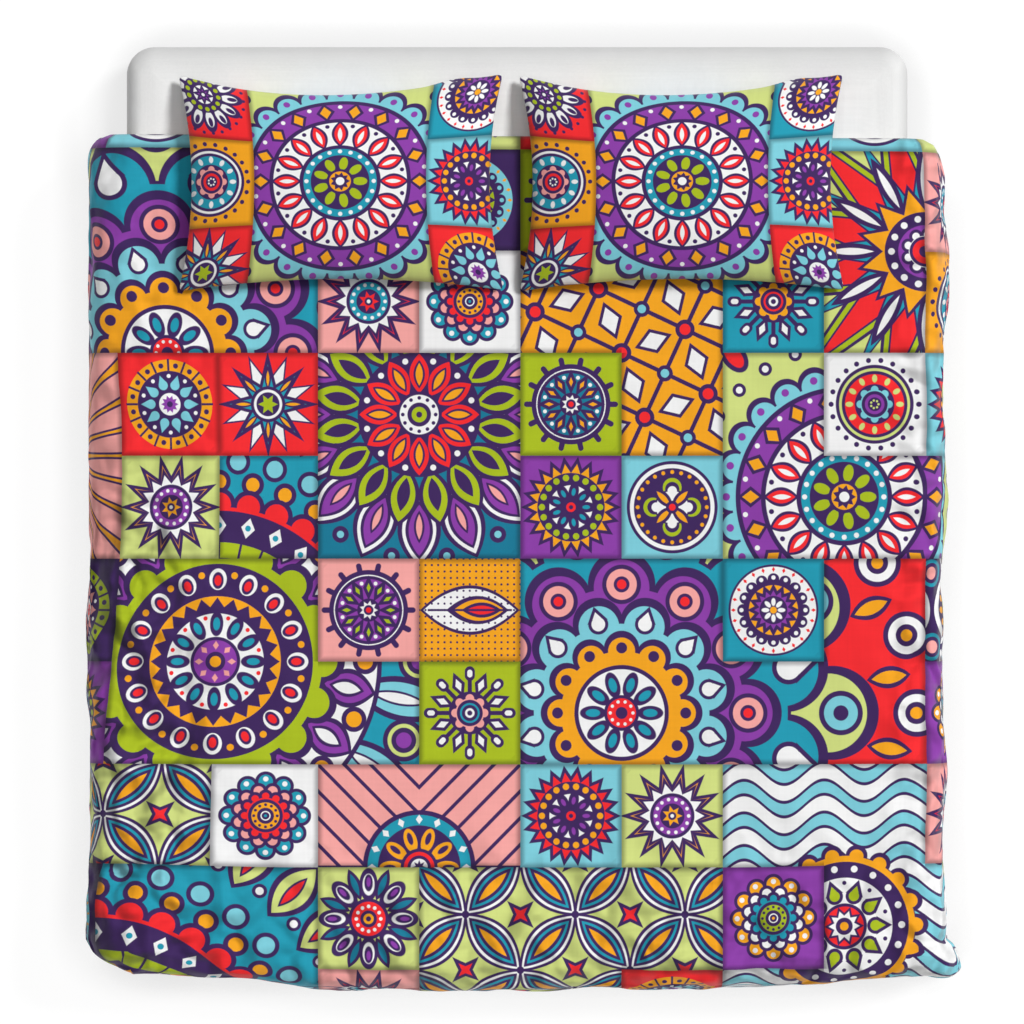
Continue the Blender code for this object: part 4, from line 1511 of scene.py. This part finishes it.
def waves_edge(tree, form, place, sector):
    """Wavy stripes a cell apart: radius is the height of the waves and length their wavelength."""
    across = coordinate(tree, place, 0)
    up = coordinate(tree, place, 1)
    turns = maths(tree, "MULTIPLY", across, 2 * math.pi / form.length)
    wave = maths(tree, "SINE", turns)
    level = maths(tree, "MULTIPLY_ADD", wave, form.radius, up)
    away = maths(tree, "PINGPONG", level, form.cell / 2)
    return maths(tree, "SUBTRACT", away, form.size)


def chevrons_edge(tree, form, place, sector):
    """Slanting lines a cell apart that meet on both axes like the barbs of a feather."""
    mirrored = add(tree, "VectorMath", (place,), operation="ABSOLUTE")
    slant = measure(tree, "DOT_PRODUCT", mirrored, (SLANT, -SLANT, 0))
    away = maths(tree, "PINGPONG", slant, form.cell / 2)
    return maths(tree, "SUBTRACT", away, form.size)


FORM_EDGES = {
    "disc": disc_edge, "beads": beads_edge, "scallops": scallops_edge, "petals": petals_edge,
    "star": star_edge, "leaves": leaves_edge, "bars": bars_edge, "pills": pills_edge,
    "drops": drops_edge, "lozenges": lozenges_edge, "waves": waves_edge, "chevrons": chevrons_edge,
}
WHOLE_PLANE = ("waves", "chevrons")


def print_form(tree, below, form, away):
    """Print a form over what lies below it: its outline first, then its ink inside the outline."""
    steps = ((INDIGO, form.line), (form.ink, -form.line)) if form.line else ((form.ink, 0),)
    for ink, reach in steps:
        cover = maths(tree, "MULTIPLY_ADD", away, -1 / INK_EDGE, reach / INK_EDGE + 0.5, use_clamp=True)
        below = mixed(tree, cover, below, ink)
    return below


def printed_colour(tree, motif):
    """The motif's colours: its ground with its forms printed on it one after another."""
    middle = add(tree, "UVMap", uv_map="motif")
    colour = motif.ground
    places = {}
    for form in motif.forms:
        place = middle
        if form.cell and form.kind not in WHOLE_PLANE:
            key = (form.cell, form.shift)
            if key not in places:
                places[key] = in_cell(tree, middle, form.cell, form.shift)
            place = places[key]
        key = (form.cell, form.shift, form.count, form.turn)
        if form.kind != "disc" and form.kind not in WHOLE_PLANE and key not in places:
            places[key] = folded(tree, place, form.count, form.turn)
        away = FORM_EDGES[form.kind](tree, form, place, places.get(key))
        colour = print_form(tree, colour, form, away)
    return colour


def new_material(name):
    """An empty node material, its tree and its shader."""
    material = bpy.data.materials.new(name)
    material.use_nodes = True
    tree = material.node_tree
    return material, tree, tree.nodes["Principled BSDF"]


def finish_cotton(tree, shader, colour, cloth, relief):
    """Woven cotton: matt, with the faint sheen of loose fibres.

    Slubs, threads of uneven thickness, run along both threads. Real ones are 0.3 mm wide and wouldn't show,
    so they are drawn wider. The plain weave is drawn coarser too, as bump, and soft crumples show where the
    cloth lies slack.
    """
    threads = 0.5
    for stretch in ((SLUBS_ACROSS, SLUBS_ALONG, 1), (SLUBS_ALONG, SLUBS_ACROSS, 1)):
        run = add(tree, "VectorMath", (cloth, stretch), operation="MULTIPLY")
        slub = add(tree, "TexNoise", {"Vector": run, "Scale": 1.0, "Detail": 2.0})
        threads = maths(tree, "MULTIPLY_ADD", slub, 0.5, threads)
    shade = add(tree, "MapRange", (threads, *SLUB_SUMS, *SLUB_TONES))
    toned = add(tree, "VectorMath", {0: colour, "Scale": shade}, operation="SCALE")
    tree.links.new(toned, shader.inputs["Base Color"])
    weave = add(tree, "VectorMath", (cloth, (THREAD_STRETCH, THREAD_STRETCH, 0)), operation="MULTIPLY")
    weave = add(tree, "TexChecker", {"Vector": weave, "Scale": THREAD_SCALE}, 1)
    slack = add(tree, "Attribute", out="Fac", attribute_name="slack")
    strength = maths(tree, "MULTIPLY_ADD", slack, CRUMPLE_BY_SLACK, CRUMPLE_EVERYWHERE)
    rumple = {"Vector": relief, "Scale": CRUMPLE_SCALE, "Detail": 1.0, "Distortion": 0.2}
    rumple = add(tree, "TexNoise", rumple)
    creased = add(tree, "Bump", {"Strength": strength, "Distance": CRUMPLE_BUMP, "Height": rumple})
    woven = {"Strength": 0.12, "Distance": THREAD_BUMP, "Height": weave, "Normal": creased}
    woven = add(tree, "Bump", woven)
    tree.links.new(woven, shader.inputs["Normal"])
    shader.inputs["Roughness"].default_value = 0.84
    shader.inputs["Specular IOR Level"].default_value = 0.3
    shader.inputs["Sheen Weight"].default_value = 0.12
    shader.inputs["Sheen Roughness"].default_value = 0.5


def printed_cotton(name, motif):
    """Cotton printed with one motif, and with the soft dark shading that is printed along a patch's sides."""
    material, tree, shader = new_material("printed_cotton_" + name)
    colour = printed_colour(tree, motif)
    border = add(tree, "Attribute", out="Fac", attribute_name="border")
    fade = (border, 0.0, BORDER_WIDTH, BORDER_STRENGTH, 0.0)
    shade = add(tree, "MapRange", fade, interpolation_type="SMOOTHSTEP")
    colour = mixed(tree, shade, colour, BORDER_SHADE, blend_type="MULTIPLY")
    cloth = add(tree, "UVMap", uv_map="cloth")
    finish_cotton(tree, shader, colour, cloth, add(tree, "TexCoord", out="Object"))
    return material


def plain_cotton():
    """The back of the covers: plain white woven cotton, a little uneven in tone."""
    material, tree, shader = new_material("plain_back_cotton")
    cloth = add(tree, "UVMap", uv_map="cloth")
    place = add(tree, "TexCoord", out="Object")
    patchy = add(tree, "TexNoise", {"Vector": place, "Scale": 5.0, "Detail": 2.0})
    colour = mixed(tree, patchy, linear("#E4E2DE"), linear("#EFEEEB"))
    finish_cotton(tree, shader, colour, cloth, place)
    return material


def woven_ticking():
    """Mattress ticking: close white woven cloth over foam, matt, with shade painted on it round the rim."""
    material, tree, shader = new_material("woven_ticking")
    place = add(tree, "TexCoord", out="Object")
    cloth = add(tree, "VectorMath", (place, (1000, 1000, 1000)), operation="MULTIPLY")
    patchy = add(tree, "TexNoise", {"Vector": place, "Scale": 3.0, "Detail": 3.0})
    colour = mixed(tree, patchy, linear("#EEEEED"), linear("#F5F5F4"))
    # Painted shade: the ticking's colour is mixed towards grey round the rim
    rim = add(tree, "Attribute", out="Fac", attribute_name="rim")
    colour = mixed(tree, rim, colour, linear("#CACACA"))
    finish_cotton(tree, shader, colour, cloth, place)
    return material


def make_floor():
    """A plain white floor that glows evenly, but for a painted shadow round the set, where ambient occlusion
    dims its glow.
    """
    bpy.ops.mesh.primitive_plane_add(size=60)
    floor = bpy.context.object
    floor.name = "floor"
    paint, tree, shader = new_material("floor_paint")
    shader.inputs["Base Color"].default_value = linear("#626262")
    shader.inputs["Roughness"].default_value = 0.9
    # Painted shadow: ambient occlusion, leaned by SHADE_LEAN, dims the floor's glow next to the set
    open_sky = {"Distance": SHADE_REACH, "Normal": SHADE_LEAN}
    open_sky = add(tree, "AmbientOcclusion", open_sky, 1, samples=8)
    glow = add(tree, "MapRange", (open_sky, SHADE_FULL, SHADE_NONE, FLOOR_SHADE, FLOOR_GLOW))
    tree.links.new(glow, shader.inputs["Emission Strength"])
    shader.inputs["Emission Color"].default_value = (1, 1, 1, 1)
    floor.data.materials.append(paint)


def light_bed(scene):
    """An even white surround, and the lamps over the bed."""
    world = bpy.data.worlds.new("studio")
    world.use_nodes = True
    world.node_tree.nodes["Background"].inputs["Color"].default_value = (1, 1, 1, 1)
    world.node_tree.nodes["Background"].inputs["Strength"].default_value = AMBIENT
    scene.world = world
    for name, source, width, strength in LAMPS:
        lamp = bpy.data.lights.new(name, "SUN")
        lamp.angle = math.radians(width)
        lamp.energy = strength
        holder = bpy.data.objects.new(name, lamp)
        holder.location = LAMP_DISTANCE * Vector(source)
        holder.rotation_euler = (-Vector(source)).to_track_quat("-Z", "Y").to_euler()
        scene.collection.objects.link(holder)


def aim_camera(scene):
    """A camera far above the bed that looks straight down."""
    camera = bpy.data.objects.new("camera", bpy.data.cameras.new("camera"))
    camera.location = CAMERA_PLACE
    camera.data.lens = camera.data.sensor_width * (CAMERA_PLACE[2] - VIEW_LEVEL) / VIEW_WIDTH
    camera.data.clip_end = 200
    scene.collection.objects.link(camera)
    scene.camera = camera
    scene.view_settings.view_transform = "Standard"


make_floor()
light_bed(bpy.context.scene)
aim_camera(bpy.context.scene)
plain = plain_cotton()
prints = {name: printed_cotton(name, motif) for name, motif in MOTIFS.items()}
duvet = make_duvet(prints, plain)
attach(duvet, "root")
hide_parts("duvet_cover")
for name, middle_x in PILLOW_MIDDLE_X.items():
    pillow = make_pillow(name + "_cover", middle_x, prints)
    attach(pillow, "root")
    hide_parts(name)
slab = make_mattress(woven_ticking())
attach(slab, "root")
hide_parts("mattress")
